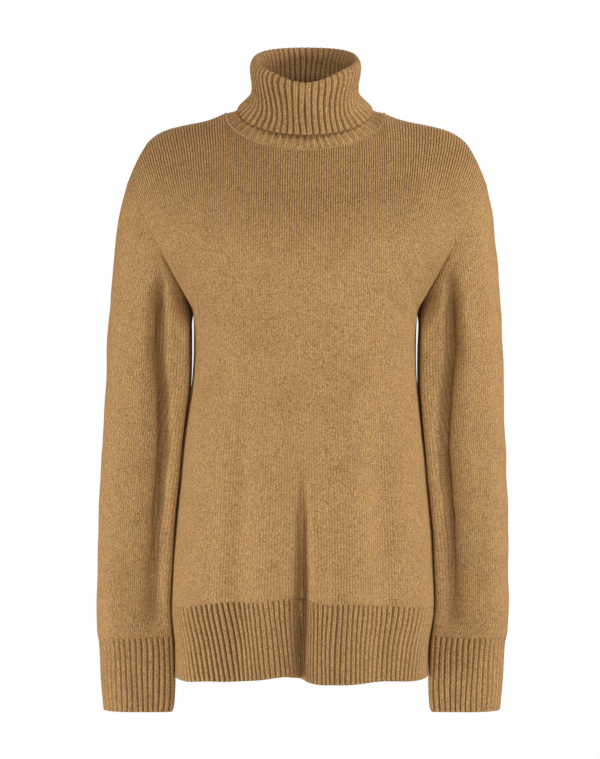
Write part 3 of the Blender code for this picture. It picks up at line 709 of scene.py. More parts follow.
def cloth_piece(name, make_knit, outer, inner, knit, groove, inner_groove_shade, side=1.0):
    """One closed wall of cloth between its outer and inner points, for the wearer's left where side is 1.
    knit is its map of stitches in millimetres, with one column more than the points where the cloth runs
    all round, and the grooves say how much shade is painted at each point, between ribs and along seams."""
    outer, inner = settled(mirrored(outer, side)), settled(mirrored(inner, side))
    rows, columns = outer.shape[:2]
    closed = knit.shape[1] > columns
    number = np.arange(rows * columns, dtype=float).reshape(rows, columns)
    if closed:
        number = np.concatenate([number, number[:, :1]], axis=1)
    face = np.concatenate([number[..., None], knit * METRES], axis=2)
    back = face + (rows * columns, 0.0, 0.0)

    def strip(first, second):
        return np.stack([first[:-1], first[1:], second[1:], second[:-1]], axis=1)

    quads = [strip(face[r], face[r + 1]) for r in range(rows - 1)]
    quads += [strip(back[r + 1], back[r]) for r in range(rows - 1)]
    quads += [strip(back[0], face[0]), strip(face[-1], back[-1])]
    if not closed:
        quads += [strip(face[:, 0], back[:, 0]), strip(back[:, -1], face[:, -1])]
    quads = np.concatenate(quads)
    vertices = np.concatenate([outer.reshape(-1, 3), inner.reshape(-1, 3)]) * METRES
    corners = quads[..., 0].astype(int)
    a, b, c, d = (vertices[corners[:, k]] for k in range(4))
    if (np.cross(c - a, d - b) * (a + b + c + d)).sum() < 0.0:
        quads, corners = quads[:, ::-1], corners[:, ::-1]

    mesh = bpy.data.meshes.new(name)
    mesh.from_pydata(vertices.tolist(), [], corners.tolist())
    mesh.uv_layers.new(name="knit").uv.foreach_set("vector", quads[..., 1:].ravel())
    # painted shade: how dark the wool is painted at each point, in rib grooves and along seams
    depth = mesh.attributes.new("groove", "FLOAT", "POINT")
    depth.data.foreach_set("value", np.concatenate([groove.ravel(), inner_groove_shade.ravel()]))
    mesh.materials.append(shared_material(make_knit))
    mesh.shade_smooth()
    mesh.set_sharp_from_angle(angle=math.radians(SHARP_ANGLE))
    mesh.validate()
    return new_object(name, mesh)


def new_object(name, data):
    """An object in the scene, for a mesh, a light or a camera."""
    made = bpy.data.objects.new(name, data)
    bpy.context.scene.collection.objects.link(made)
    return made


def declare(piece, node):
    """Hangs a cloth piece from the root and hides its node's imported solid."""
    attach(piece, "root")
    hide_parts(node)


def mirrored(grid, side):
    """A grid for the wearer's left at side 1, or its mirror image at side -1."""
    return grid * (side, 1.0, 1.0)


# ---------------------------------------------------------------- materials


def linear(colour):
    """A colour written as sRGB hex, in linear light with full alpha."""
    channels = [int(colour[k : k + 2], 16) / 255.0 for k in (1, 3, 5)]
    return tuple(c / 12.92 if c <= 0.04045 else ((c + 0.055) / 1.055) ** 2.4 for c in channels) + (1.0,)


def add(tree, kind, inputs=(), **settings):
    """Adds a node with its settings. Its inputs are listed in order, or by number or name. Each is a value,
    or a node or a node's socket to link from."""
    node = tree.nodes.new("ShaderNode" + kind)
    for name, value in settings.items():
        setattr(node, name, value)
    for key, value in inputs.items() if isinstance(inputs, dict) else enumerate(inputs):
        if isinstance(value, bpy.types.Node):
            value = value.outputs[0]
        if isinstance(value, bpy.types.NodeSocket):
            tree.links.new(value, node.inputs[key])
        else:
            node.inputs[key].default_value = value
    return node


def new_material(name):
    """A material with its Principled shader, and nothing else in it yet."""
    material = bpy.data.materials.new(name)
    material.use_nodes = True
    return material, material.node_tree, material.node_tree.nodes["Principled BSDF"]


def scaled(colour, factor):
    """A colour made darker, or brighter up to white."""
    return tuple(min(c * factor, 1.0) for c in colour[:3]) + (1.0,)


def stitches(tree, spot, wale, course):
    """Plain knit on the piece's map, in columns of leaning stitch legs: the height of the yarn, how open
    the gap between columns is, where the wool gets painted shade, how near the end of its stitch the yarn
    is, and each stitch's number."""
    across, up, _ = add(tree, "SeparateXYZ", [add(tree, "UVMap", uv_map="knit")]).outputs
    unsteady = add(tree, "TexNoise", {"Vector": spot, "Scale": 70.0, "Detail": 2.0})  # waves of 14 mm
    drift = add(tree, "Math", (unsteady, 0.5, -0.25), operation="MULTIPLY_ADD")
    column = add(tree, "Math", (across, wale), operation="DIVIDE")
    column = add(tree, "Math", (column, drift), operation="ADD")
    centre = add(tree, "Math", (column, 0.5), operation="PINGPONG")
    centre = add(tree, "Math", (centre, 2.0), operation="MULTIPLY")  # 0 between columns, 1 in the middle
    lean = add(tree, "Math", (centre, 0.6), operation="MULTIPLY")
    step = add(tree, "Math", (up, course), operation="DIVIDE")
    step = add(tree, "Math", (step, lean), operation="ADD")
    loop = add(tree, "Math", (step, 2.0 * math.pi), operation="MULTIPLY")
    loop = add(tree, "Math", [loop], operation="SINE")
    loop = add(tree, "Math", (loop, 0.5, 0.5), operation="MULTIPLY_ADD")
    leg = add(tree, "Math", (centre, math.pi * 0.5), operation="MULTIPLY")
    leg = add(tree, "Math", [leg], operation="SINE")
    fullness = add(tree, "Math", (loop, 0.35, 0.65), operation="MULTIPLY_ADD")
    height = add(tree, "Math", (leg, fullness), operation="MULTIPLY")
    gap = add(tree, "MapRange", (centre, 0.62, 0.06), interpolation_type="SMOOTHSTEP")
    which = [add(tree, "Math", [count], operation="FLOOR") for count in (column, step)]
    own = add(tree, "TexWhiteNoise", [add(tree, "CombineXYZ", which)], noise_dimensions="2D")
    return height, gap, loop, own


def brushed_wool(name, colour, knit, yoke_gap, body_gap):
    """Knitted cashmere, lightly brushed: a soft nap without gloss, fine fibres that blur the stitches, and
    yarn whose tone shifts from stitch to stitch. Painted shade darkens the gaps between columns and between
    loops, most on the yoke, where the cloth is stretched open over the shoulders, and less towards the hem,
    and the grooves of the ribs and the seams, from each point's groove attribute."""
    material, tree, shader = new_material(name)
    spot = add(tree, "TexCoord").outputs["Object"]
    height, gap, loop, own = stitches(tree, spot, knit.wale, knit.course)
    # nap in tufts of 1 mm, coarser than real so that it shows
    fibre = add(tree, "TexNoise", {"Vector": spot, "Scale": 1100.0, "Detail": 2.0, "Roughness": 0.8})
    # paler and darker yarn, in flecks of 1.6 mm
    heather = add(tree, "TexNoise", {"Vector": spot, "Scale": 620.0, "Detail": 2.0, "Roughness": 0.75})
    # tone that drifts over 45 mm, and soft dents of 20 mm
    cloud = add(tree, "TexNoise", {"Vector": spot, "Scale": 22.0, "Detail": 3.0, "Roughness": 0.6})
    rumple = add(tree, "TexNoise", {"Vector": spot, "Scale": 48.0, "Detail": 3.0, "Roughness": 0.55})
    across, _, up = add(tree, "SeparateXYZ", [spot]).outputs
    inward = add(tree, "Math", [across], operation="ABSOLUTE")
    inward = add(tree, "Math", (inward, -0.35, up), operation="MULTIPLY_ADD")
    # how much shade is painted in the gaps: most on the yoke, where the cloth is stretched open
    openness = add(tree, "MapRange", (inward, -0.20, -0.125, body_gap, yoke_gap))
    # painted shade at the ends of the loops, and in the gaps between the columns
    loop_end = add(tree, "MapRange", (loop, 0.45, 0.0, 0.0, 0.35))
    painted_shade_between_loops = add(tree, "Math", (loop_end, openness), operation="MULTIPLY")
    painted_shade_between_columns = add(tree, "Math", (gap, openness), operation="MULTIPLY")
    # the groove attribute: how much shade is painted in rib grooves and along seams
    groove = add(tree, "Attribute", attribute_name="groove", attribute_type="GEOMETRY").outputs["Fac"]
    light, shadow = scaled(colour, 1.4), tuple(knit.shadow)
    tone = tuple(colour)
    # what changes the tone, where that starts and is full, how strong it is then, and towards which colour
    for cause, start, full, strength, towards in (
        (own, 0.5, 1.0, 0.3, light),
        (own, 0.5, 0.0, 0.1, shadow),
        (heather, 0.5, 0.36, 0.5, shadow),
        (heather, 0.5, 0.64, 1.0, light),
        (cloud, 0.52, 0.32, 0.1, shadow),
        # the last three rows paint shade: between loops, between columns, and in rib grooves and along seams
        (painted_shade_between_loops, 0.0, 1.0, 1.0, shadow),
        (painted_shade_between_columns, 0.0, 1.0, 1.0, shadow),
        (groove, 0.05, 0.8, 0.75, scaled(shadow, 0.55)),
    ):
        amount = add(tree, "MapRange", (cause, start, full, 0.0, strength))
        tone = add(tree, "Mix", {0: amount, 6: tone, 7: towards}, data_type="RGBA").outputs[2]
    nap = add(tree, "Math", (fibre, 0.35, height), operation="MULTIPLY_ADD")
    nap = add(tree, "Math", (heather, 0.5, nap), operation="MULTIPLY_ADD")
    knitted = add(tree, "Bump", {"Height": nap, "Strength": 0.8, "Distance": knit.relief})
    hung = add(tree, "Bump", {"Height": rumple, "Strength": 0.5, "Distance": 0.0022, "Normal": knitted})
    dryness = add(tree, "MapRange", (heather, 0.3, 0.7, 0.84, 0.98))
    tree.links.new(tone, shader.inputs["Base Color"])
    tree.links.new(hung.outputs[0], shader.inputs["Normal"])
    tree.links.new(dryness.outputs[0], shader.inputs["Roughness"])
    shader.inputs["Sheen Weight"].default_value = 0.22
    shader.inputs["Sheen Roughness"].default_value = 0.5
    shader.inputs["Sheen Tint"].default_value = light
    shader.inputs["Specular IOR Level"].default_value = 0.15
    return material


def cashmere_jersey(knit):
    """Plain knit. The stitches are as wide as the photo's upper chest shows them."""
    return brushed_wool("cashmere_jersey_knit", knit.yarn, knit, 1.0, 0.28)


def cashmere_rib(knit):
    """Two-by-one rib. Its map counts each rib as three stitches, so two columns lie on top of every rib."""
    return brushed_wool("cashmere_rib_knit", knit.rib_yarn, knit, 0.4, 0.35)


def cashmere_linking(knit):
    """The collar's linking yarn: the same cashmere, with painted highlight in paler flecks."""
    material, tree, shader = new_material("cashmere_linking_yarn")
    spot = add(tree, "TexCoord").outputs["Object"]
    fibre = add(tree, "TexNoise", {"Vector": spot, "Scale": 900.0, "Detail": 3.0})  # flecks of 1 mm
    # painted highlight: the yarn paler in 1 mm flecks on the raised stitches
    yarn_and_painted_highlight = {0: fibre, 6: tuple(knit.yarn), 7: scaled(knit.yarn, 1.35)}
    tone = add(tree, "Mix", yarn_and_painted_highlight, data_type="RGBA")
    tree.links.new(tone.outputs[2], shader.inputs["Base Color"])
    shader.inputs["Roughness"].default_value = 0.85
    shader.inputs["Sheen Weight"].default_value = 0.15
    return material


def shared_material(make):
    """The knit's material, made once and then shared by the pieces."""
    return bpy.data.materials.get(make.__name__ + "_knit") or make(bpy.context.scene.pullover_knit)


def backdrop_paper():
    """Matt white studio paper: even, without gloss, with the faintest fibre to it."""
    material, tree, shader = new_material("studio_paper_matt_white")
    spot = add(tree, "TexCoord").outputs["Object"]
    fibre = add(tree, "TexNoise", {"Vector": spot, "Scale": 90.0, "Detail": 2.0})
    tone = add(tree, "Mix", {0: fibre, 6: linear("#F4F3F0"), 7: linear("#FAF9F7")}, data_type="RGBA")
    tree.links.new(tone.outputs[2], shader.inputs["Base Color"])
    shader.inputs["Roughness"].default_value = 0.95
    return material


# ---------------------------------------------------------------- pieces


def panel_wales():
    """The wales that a panel is divided at, in degrees round the body from its centre."""
    turns = np.radians(np.linspace(0.0, 90.0, NECK_WALES + 1)[1:])
    near = np.degrees(np.arcsin(math.sin(math.radians(NECK_WALE)) * np.sin(turns)))
    share = (1.0 - np.cos(np.pi * np.arange(1, SHOULDER_WALES + 1) / SHOULDER_WALES)) / 2.0
    half = np.concatenate([near, NECK_WALE + (90.0 - NECK_WALE) * share])
    return np.concatenate([-half[::-1], [0.0], half])


def panel_grid(facing):
    """The outer points of the front or back panel, from hem to shoulder, and the row at the underarm."""
    wales = panel_wales()
    angles = from_front(wales, facing)
    heights = rows_between(HEM_RIB_TOP, UNDERARM_HEIGHT, ROW_SPACING)
    heights = heights[: -len(EDGE_ROWS)]
    side = torso_points(angles[None, :], heights[:, None])
    side[..., 1] += facing * SEAM_GAP / 2.0
    near_rib = 1.0 - ease((heights - HEM_RIB_TOP) / HEM_LINE_REACH)
    side[..., 2] += hem_line(angles).top[None, :] * near_rib[:, None]
    share = (1.0 - np.cos(np.pi * np.arange(CHEST_ROWS + 1) / CHEST_ROWS)) / 2.0
    grid = np.concatenate([side, chest_points(wales[None, :], share[:, None], facing)])
    underarm = len(heights)
    near = slice(underarm - ROWS_EVENED_BELOW, underarm + ROWS_EVENED_ABOVE)
    grid[near, 1:-1] = relax(grid[near, 1:-1], 0, UNDERARM_PASSES)
    grid[underarm:-1, 1:-1] = relax(grid[underarm:-1, 1:-1], 1, CHEST_PASSES)
    return grid, underarm


def panel_normals(grid, underarm, facing):
    """The directions out of a panel. Along a seam both cloths share one, so their edges stay parallel."""
    normals = grid_normals(grid, False, -facing)
    wales = panel_wales()
    normals[:underarm, 0], normals[:underarm, -1] = (-1.0, 0.0, 0.0), (1.0, 0.0, 0.0)
    out = armhole_normals(180.0 * np.arange(CHEST_ROWS + 1) / CHEST_ROWS, facing)
    normals[underarm:, -1], normals[underarm:, 0] = out, out * (-1.0, 1.0, 1.0)
    at_neck = neck_seam_normals(neck_turn(wales, facing))
    slope = np.gradient(grid[-1, :, 2], grid[-1, :, 0])
    at_shoulder = unit(points(-slope, 0.0, 1.0))
    normals[-1] = np.where((np.abs(wales) <= NECK_WALE + 1e-6)[:, None], at_neck, at_shoulder)
    return normals


def make_panel(name, facing):
    """The front or back, in plain knit from the hem's rib to the shoulder and neckline."""
    grid, underarm = panel_grid(facing)
    normals = panel_normals(grid, underarm, facing)
    up, across = distances(grid, 0), distances(grid, 1)
    edge = np.minimum(from_ends(up, 0), from_ends(across, 1))
    uneven = hills(grid, 11 if facing < 0.0 else 12, 0.35, 35.0, 90.0) + creases(grid, PANEL_CREASES)
    worn = grid + normals * (uneven * ease(edge / UNEVEN_FADE))[..., None]
    knit = points(panel_stitches(worn, underarm), up, 0.0)[..., :2]
    # painted shade along the neck seam, on the wales that meet the neck
    at_neck = (np.abs(panel_wales()) <= NECK_WALE) * ease(1.0 - (up[-1:] - up) / NECK_SHADE_REACH)
    return jersey_piece(name, grid, normals, edge, uneven, knit, NECK_SEAM_SHADE * at_neck)


def panel_stitches(grid, underarm):
    """How far each wale lies from the centre one, over its stitches: at the underarm below the neck, and
    partway up the armhole for wales that run out over the shoulder."""
    wales = panel_wales()
    across = np.abs(distances(grid, 1) - distances(grid, 1)[:, [len(wales) // 2]])
    course, wide = across[underarm].copy(), across[underarm + int(WIDE_COURSE_SHARE * CHEST_ROWS)]
    for side in (-1.0, 1.0):
        neck = np.abs(wales - side * NECK_WALE).argmin()
        beyond = wales * side > NECK_WALE
        course[beyond] = course[neck] + wide[beyond] - wide[neck]
    return np.broadcast_to(course * np.sign(wales), across.shape)


def sleeve_turns(share):
    """Angles that lie evenly along the cloth round the sleeve, at a share of the way round."""
    turns = np.linspace(0.0, 360.0, 721)
    return evenly(share % 1.0, sleeve_points(CUFF_RIB_TOP, CUFF_RIB_TOP, turns, 1.0), turns)


def make_sleeve(name, side):
    """A sleeve in plain knit, from the armhole to its cuff."""
    length = SHOULDER_TIP_HEIGHT - CUFF_RIB_TOP
    t = rows_between(0.0, length, length / SLEEVE_ROWS)[:, None] / length
    angle = sleeve_turns(np.arange(SLEEVE_WALES) / SLEEVE_WALES)[None, :]
    outer_height = SHOULDER_TIP_HEIGHT - t * length
    cap = np.maximum(1.0 - t / SLEEVE_CAP_SHARE, 0.0) ** SLEEVE_CAP_BEND
    inner_height = outer_height - cap * ARMHOLE_RISE + CUFF_TILT * ease(4.0 * t - 3.0)
    grid = sleeve_points(outer_height, inner_height, angle, ease(t / SLEEVE_BLEND_SHARE))
    grid[0] += unit(np.array([ARMHOLE_RISE, 0.0, -ARMHOLE_SPREAD])) * SEAM_GAP
    normals = grid_normals(grid, True, 1.0)
    turn = np.degrees(np.arccos(-sleeve_toward(angle[0])))
    normals[0] = np.where(
        (angle[0] <= 180.0)[:, None], armhole_normals(turn, -1.0), armhole_normals(turn, 1.0)
    )
    normals[-1] = unit(normals[-1] * (1.0, 1.0, 0.0))
    down = distances(grid, 0)
    edge = from_ends(down, 0)
    uneven = hills(mirrored(grid, side), 21, 0.45, 35.0, 80.0) + creases(grid, SLEEVE_CREASES)
    off_body = 1.0 - bump(angle, 180.0, SLEEVE_CALM_WIDTH)
    round_it = np.linspace(0.0, 1.0, SLEEVE_WALES + 1) * SLEEVE_GIRTH
    down = np.concatenate([down, down[:, :1]], axis=1)
    knit = points(round_it[None, :], -down, 0.0)[..., :2]
    return jersey_piece(name, grid, normals, edge, uneven * off_body, knit, 0.0, side)


def rib_map(places, down, closed):
    """The map of a ribbed piece's stitches, with two columns on top of every rib."""
    if closed:
        places = np.append(places, round(places[-1]))
        down = np.concatenate([down, down[:, :1]], axis=1)
    return points((places * WALES_PER_RIB + 0.5)[None, :] * KNIT_WALE, -down, 0.0)[..., :2]


def jersey_piece(name, grid, normals, edge, uneven, knit, shade=0.0, side=1.0):
    """Plain knit whose outer side follows a grid and its unevenness. edge is how far each point is from the
    nearest seam, and shade is further painted shade along a seam."""
    grid = grid + normals * (uneven * ease(edge / UNEVEN_FADE))[..., None]
    rounded = rounding(edge, SEAM_RADIUS)
    # painted shade along the seams
    groove = SEAM_SHADE * rounded / SEAM_RADIUS + shade
    outer, inner = grid - normals * rounded[..., None], grid - normals * JERSEY_THICKNESS
    return cloth_piece(name, cashmere_jersey, outer, inner, knit, groove, 0.0 * groove, side)


def ribbed_piece(name, surface, angle, drop, places, relaxed, scallop, closed, way=1.0, side=1.0):
    """Ribbed cloth that hangs from a seam, with the tops of its ribs on a surface, which is given by the
    angle round it, and moved up by drop. relaxed is how deep the ribs are, from 0 where the cloth is
    stretched flat to 1, scallop is how far each rib hangs down past its grooves at the free edge, and way
    is -1 where the angle runs clockwise."""
    around = surface(angle + NORMAL_TURN) - surface(angle - NORMAL_TURN)
    normals = unit(points(around[..., 1], -around[..., 0], 0.0)) * way
    base = surface(angle)
    base[..., 2] += drop
    down = distances(base, 0)
    free_end = down[-1:] - down
    form = rib_form(places)[None, :] * np.ones((len(base), 1))
    base[..., 2] -= scallop * form * ease(1.0 - free_end / SCALLOP_REACH)
    sunk = (1.0 - form) * relaxed * ease((down + 0.3) / RIB_START)
    lip = rounding(down, SEAM_RADIUS) + rounding(free_end, EDGE_RADIUS)
    inside = RIB_DEPTH * (0.45 + 0.55 * sunk) + RIB_THICKNESS - rounding(free_end, EDGE_RADIUS)
    outer, inner = base - normals * (RIB_DEPTH * sunk + lip)[..., None], base - normals * inside[..., None]
    knit = rib_map(places, down, closed)
    # the grooves get painted shade by how deep they sink, half as much on the inner side
    return cloth_piece(name, cashmere_rib, outer, inner, knit, sunk, 0.5 * sunk, side)


def make_hem(name, facing):
    """The ribbed hem of one panel. Its side seams swing to the front towards the bottom edge."""
    places = rib_places(HEM_RIBS_PER_PANEL, False)
    height = rows_between(HEM_RIB_TOP, HEM_BOTTOM, RIB_ROW_SPACING)[:, None]
    share = (HEM_RIB_TOP - height) / (HEM_RIB_TOP - HEM_BOTTOM)
    wobble = 0.10 * np.sin(places * 0.9 + height / 23.0) + 0.08 * np.sin(places * 0.37 - height / 31.0)
    wobble = wobble * ease(share * 4.0) * np.sin(np.pi * places / HEM_RIBS_PER_PANEL)
    spread = places[None, :] + wobble
    across = 2.0 * np.pi * spread / HEM_RIBS_PER_PANEL
    spread = spread + HEM_GATHER * HEM_RIBS_PER_PANEL / (2.0 * np.pi) * np.sin(across)
    start = even_turns(spread / HEM_RIBS_PER_PANEL, facing)
    side_gap = np.degrees(SEAM_GAP / 2.0 / read(TORSO, height).back_depth)
    swing = read(FRONT_SWING if facing < 0.0 else BACK_SWING, start).swing
    angle = from_front(start * (1.0 - side_gap / 90.0) + swing * share, facing)
    line = hem_line(angle)
    drop = line.top + (line.bottom - line.top) * share - SEAM_GAP

    def surface(turn):
        return torso_points(turn, height)

    return ribbed_piece(name, surface, angle, drop, places, line.rib_depth, HEM_SCALLOP, False)


def even_turns(share, facing):
    """Angles from the panel's centre at a share of the way along the top of its hem."""
    turns = np.linspace(-90.0, 90.0, 361)
    return evenly(share, torso_points(from_front(turns, facing), HEM_RIB_TOP), turns)


def make_cuff(name, side):
    """The deep ribbed cuff of one sleeve."""
    places = rib_places(CUFF_RIBS, True)
    height = rows_between(CUFF_RIB_TOP - SEAM_GAP, CUFF_BOTTOM, RIB_ROW_SPACING)[:, None]
    share = (CUFF_RIB_TOP - height) / (CUFF_RIB_TOP - CUFF_BOTTOM)
    wobble = 0.08 * np.sin(places * 0.8 + height / 19.0) * ease(share * 4.0)
    angle = sleeve_turns((places[None, :] + wobble - 0.2) / CUFF_RIBS)
    inner_height = height + CUFF_TILT * (1.0 - share)
    relaxed = 1.0 - CUFF_STRETCH * bump(angle, CUFF_STRETCH_ANGLE, CUFF_STRETCH_WIDTH)

    def surface(turn):
        return sleeve_points(height, inner_height, turn, 1.0)

    return ribbed_piece(name, surface, angle, 0.0, places, relaxed, CUFF_SCALLOP, True, -1.0, side)


def collar_stations():
    """The rows of the collar, close together over the fold and at both edges."""
    to_fold = np.linspace(0.0, 1.0, 17)[1:] ** 2.2
    seam = np.array([0.0, 0.02, 0.06, 0.12, 0.2])
    band = np.linspace(0.3, 3.0, 20)
    stand = np.linspace(3.2, FOLD_STATION - 1.0, 9)[:-1]
    roll = np.linspace(FOLD_STATION + 1.0, COLLAR[-1].station - 0.1, 26)[1:]
    edge = COLLAR[-1].station - np.array([0.06, 0.035, 0.015, 0.0])
    return np.concatenate(
        [seam, band, stand, FOLD_STATION - to_fold[::-1], [FOLD_STATION], FOLD_STATION + to_fold, roll, edge]
    )


def make_collar(name):
    """The ribbed collar: one cloth from the neck seam up, over the fold and down to its free edge."""
    places = rib_places(COLLAR_RIBS, True)
    station = collar_stations()[:, None]
    wobble = 0.09 * np.sin(places * 0.7 + station * 1.3) + 0.07 * np.sin(places * 0.31 - station * 2.1)
    turn = 360.0 * (places[None, :] + wobble) / COLLAR_RIBS
    gather = read(COLLAR, station).gather
    angle = turn + np.degrees(gather / 2.0 * np.sin(np.radians(2.0 * turn)))
    base, normals = collar_points(station, angle), collar_normals(station, angle)
    base[0] += unit(base[1] - base[0]) * SEAM_GAP
    down = distances(base, 0)
    # on that flank the ribs crowd, and their wider grooves get more painted shade, which darkens it
    bunched_and_shaded = COLLAR_BUNCH * bump(angle, COLLAR_BUNCH_ANGLE, COLLAR_BUNCH_WIDTH)
    bunched_and_shaded = 1.0 + bunched_and_shaded * ease(station - FOLD_STATION + 0.5)
    form = rib_form(places)[None, :] ** bunched_and_shaded
    free_end = down[-1:] - down
    starting = ease(station / 0.35)
    down_it = unit(base - np.roll(base, 1, axis=0))
    base = base + down_it * (COLLAR_SCALLOP * form * ease(1.0 - free_end / COLLAR_SCALLOP_REACH))[..., None]
    lip = rounding(down, SEAM_RADIUS) + rounding(free_end, EDGE_RADIUS)
    stretched = 1.0 - 0.75 * np.exp(-(((station - FOLD_STATION) / 0.8) ** 2))
    raised = (COLLAR_RIB_RAISE * form - COLLAR_RIB_SINK * (1.0 - form)) * starting * stretched
    face = base + normals * (RIB_THICKNESS + raised - lip)[..., None]
    ridge = ((1.0 + np.cos(2.0 * np.pi * places)) / 2.0) ** 1.3 * np.ones(station.shape)
    on_band = starting * ease((BAND_END + 0.6 - station) / 0.6)
    hidden = base - normals * (BAND_RIB_RAISE * ridge * on_band - rounding(free_end, EDGE_RADIUS))[..., None]
    # painted shade between the band's ridges and along the neck seam
    hidden_groove_shade = 0.3 * (1.0 - ridge) * on_band + NECK_SEAM_SHADE * ease(1.0 - down / BAND_SHADE_REACH)
    knit = rib_map(places, down, True)
    # the roll's grooves get painted shade by how deep they are
    return cloth_piece(name, cashmere_rib, face, hidden, knit, (1.0 - form) * starting, hidden_groove_shade)


def yarn_stitch(length, thickness):
    """One short stitch of yarn along X, as points and faces."""
    bpy.ops.mesh.primitive_uv_sphere_add(segments=8, ring_count=6, radius=0.5)
    ball = bpy.context.object
    shape = np.array([vertex.co for vertex in ball.data.vertices]) * (thickness, thickness, length)
    faces = [tuple(polygon.vertices) for polygon in ball.data.polygons]
    bpy.data.objects.remove(ball)
    return shape[:, [2, 1, 0]] * (1.0, 1.0, -1.0), faces


def sew(name, material, centres, directions, outs):
    """A row of yarn stitches, each at its centre, along its direction and standing out of the cloth."""
    shape, faces = yarn_stitch(LINK_LENGTH, LINK_THICKNESS)
    vertices, corners = [], []
    for centre, direction, out in zip(centres, directions, outs):
        sideways = unit(np.cross(out, direction))
        out = unit(np.cross(direction, sideways))
        vertices.append(centre + shape @ np.stack([direction, sideways, out]))
    for k in range(len(vertices)):
        corners += [tuple(v + k * len(shape) for v in face) for face in faces]
    mesh = bpy.data.meshes.new(name)
    mesh.from_pydata((np.concatenate(vertices) * METRES).tolist(), [], corners)
    mesh.materials.append(material)
    mesh.shade_smooth()
    return new_object(name, mesh)


def make_linking(name):
    """The row of stitches that links the collar to the neckline, which lean with the seam."""
    angle = 360.0 * (np.arange(LINKING_STITCHES) + 0.5) / LINKING_STITCHES
    outs = neck_seam_normals(angle)
    round_it = unit(neckline_points(angle + 0.5) - neckline_points(angle - 0.5))
    up_it = unit(np.cross(round_it, outs))
    up_it = up_it * np.sign(up_it[:, 2:])
    centres = settled(neckline_points(angle)) + outs * LINK_LIFT
    material = cashmere_linking(bpy.context.scene.pullover_knit)
    return sew(name, material, centres, unit(round_it + up_it * LINK_LEAN), outs)


# ---------------------------------------------------------------- settings, operators and panel


def length_setting(name, description, default):
    """A setting for a length in metres."""
    return FloatProperty(name=name, description=description, default=default, unit="LENGTH", precision=5)


def colour_setting(name, description, code):
    """A setting for a yarn's colour, written as sRGB hex."""
    return FloatVectorProperty(
        name=name, description=description, subtype="COLOR", size=4, min=0.0, max=1.0, default=linear(code)
    )


def power_setting(name, description, default):
    """A setting for a light's power in watts."""
    return FloatProperty(name=name, description=description, default=default, unit="POWER")


class KnitSettings(bpy.types.PropertyGroup):
    """Sizes and colours of the knit."""

    wale: length_setting("Wale width", "Width of one column of stitches", 0.0028)
    course: length_setting("Course height", "Height of a row of stitches, coarser than real to show", 0.0024)
    relief: length_setting("Stitch relief", "How far a stitch stands out", 0.0007)
    yarn: colour_setting("Jersey yarn", "Colour of the plain knit", "#AE8A5C")
    rib_yarn: colour_setting("Rib yarn", "Colour on top of the ribs", "#B28D5E")
    # painted shade colour for gaps between stitches, rib grooves and seams, and also the darker tone of
    # random yarn flecks
    shadow: colour_setting("Gaps", "Colour deep between stitches and ribs", "#553010")


class StudioSettings(bpy.types.PropertyGroup):
    """Camera, light and backdrop."""

    focal_length: FloatProperty(
        name="Focal length", description="Lens of the camera", default=138.3, subtype="DISTANCE_CAMERA"
    )
    distance: length_setting("Camera distance", "From the camera to the shoulder seams", 3.5)
    key: power_setting("Key light", "Power of the softbox on the right", 69.0)
    fill: power_setting("Fill light", "Power of the gridded softbox on the left", 11.3)
    front: power_setting("Front light", "Power of the soft light behind the camera", 28.0)
    top: power_setting("Top light", "Power of the soft light over the shoulders", 40.0)
    back: power_setting("Back light", "Power of the soft light behind the garment", 45.0)
    fill_spread: FloatProperty(
        name="Fill spread",
        description="How wide the fill light's grid lets it fan out",
        default=math.radians(72.0),
        subtype="ANGLE",
    )
    surround: FloatProperty(
        name="Surround", description="Strength of the white surround's light", default=0.24, min=0.0
    )


class PULLOVER_OT_panels(bpy.types.Operator):
    """Knit the front and back"""

    bl_idname = "pullover.panels"
    bl_label = "Front and back"

    def execute(self, context):
        declare(make_panel("front_jersey", -1.0), "front")
        declare(make_panel("back_jersey", 1.0), "back")
        return {"FINISHED"}


class PULLOVER_OT_sleeves(bpy.types.Operator):
    """Knit both sleeves"""

    bl_idname = "pullover.sleeves"
    bl_label = "Sleeves"

    def execute(self, context):
        for name, side in (("sleeve_left", 1.0), ("sleeve_right", -1.0)):
            declare(make_sleeve(name + "_jersey", side), name)
        return {"FINISHED"}


class PULLOVER_OT_cuffs(bpy.types.Operator):
    """Knit both cuffs"""

    bl_idname = "pullover.cuffs"
    bl_label = "Cuffs"

    def execute(self, context):
        for name, side in (("cuff_left", 1.0), ("cuff_right", -1.0)):
            declare(make_cuff(name + "_rib", side), name)
        return {"FINISHED"}


class PULLOVER_OT_hems(bpy.types.Operator):
    """Knit the front and back hems"""

    bl_idname = "pullover.hems"
    bl_label = "Hems"

    def execute(self, context):
        declare(make_hem("hem_front_rib", -1.0), "hem_front")
        declare(make_hem("hem_back_rib", 1.0), "hem_back")
        return {"FINISHED"}


class PULLOVER_OT_collar(bpy.types.Operator):
    """Knit the roll collar and link it to the neckline"""

    bl_idname = "pullover.collar"
    bl_label = "Roll collar"

    def execute(self, context):
        declare(make_collar("roll_collar_rib"), "roll_collar")
        piece = make_linking("neck_linking")
        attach(piece, "root")
        return {"FINISHED"}


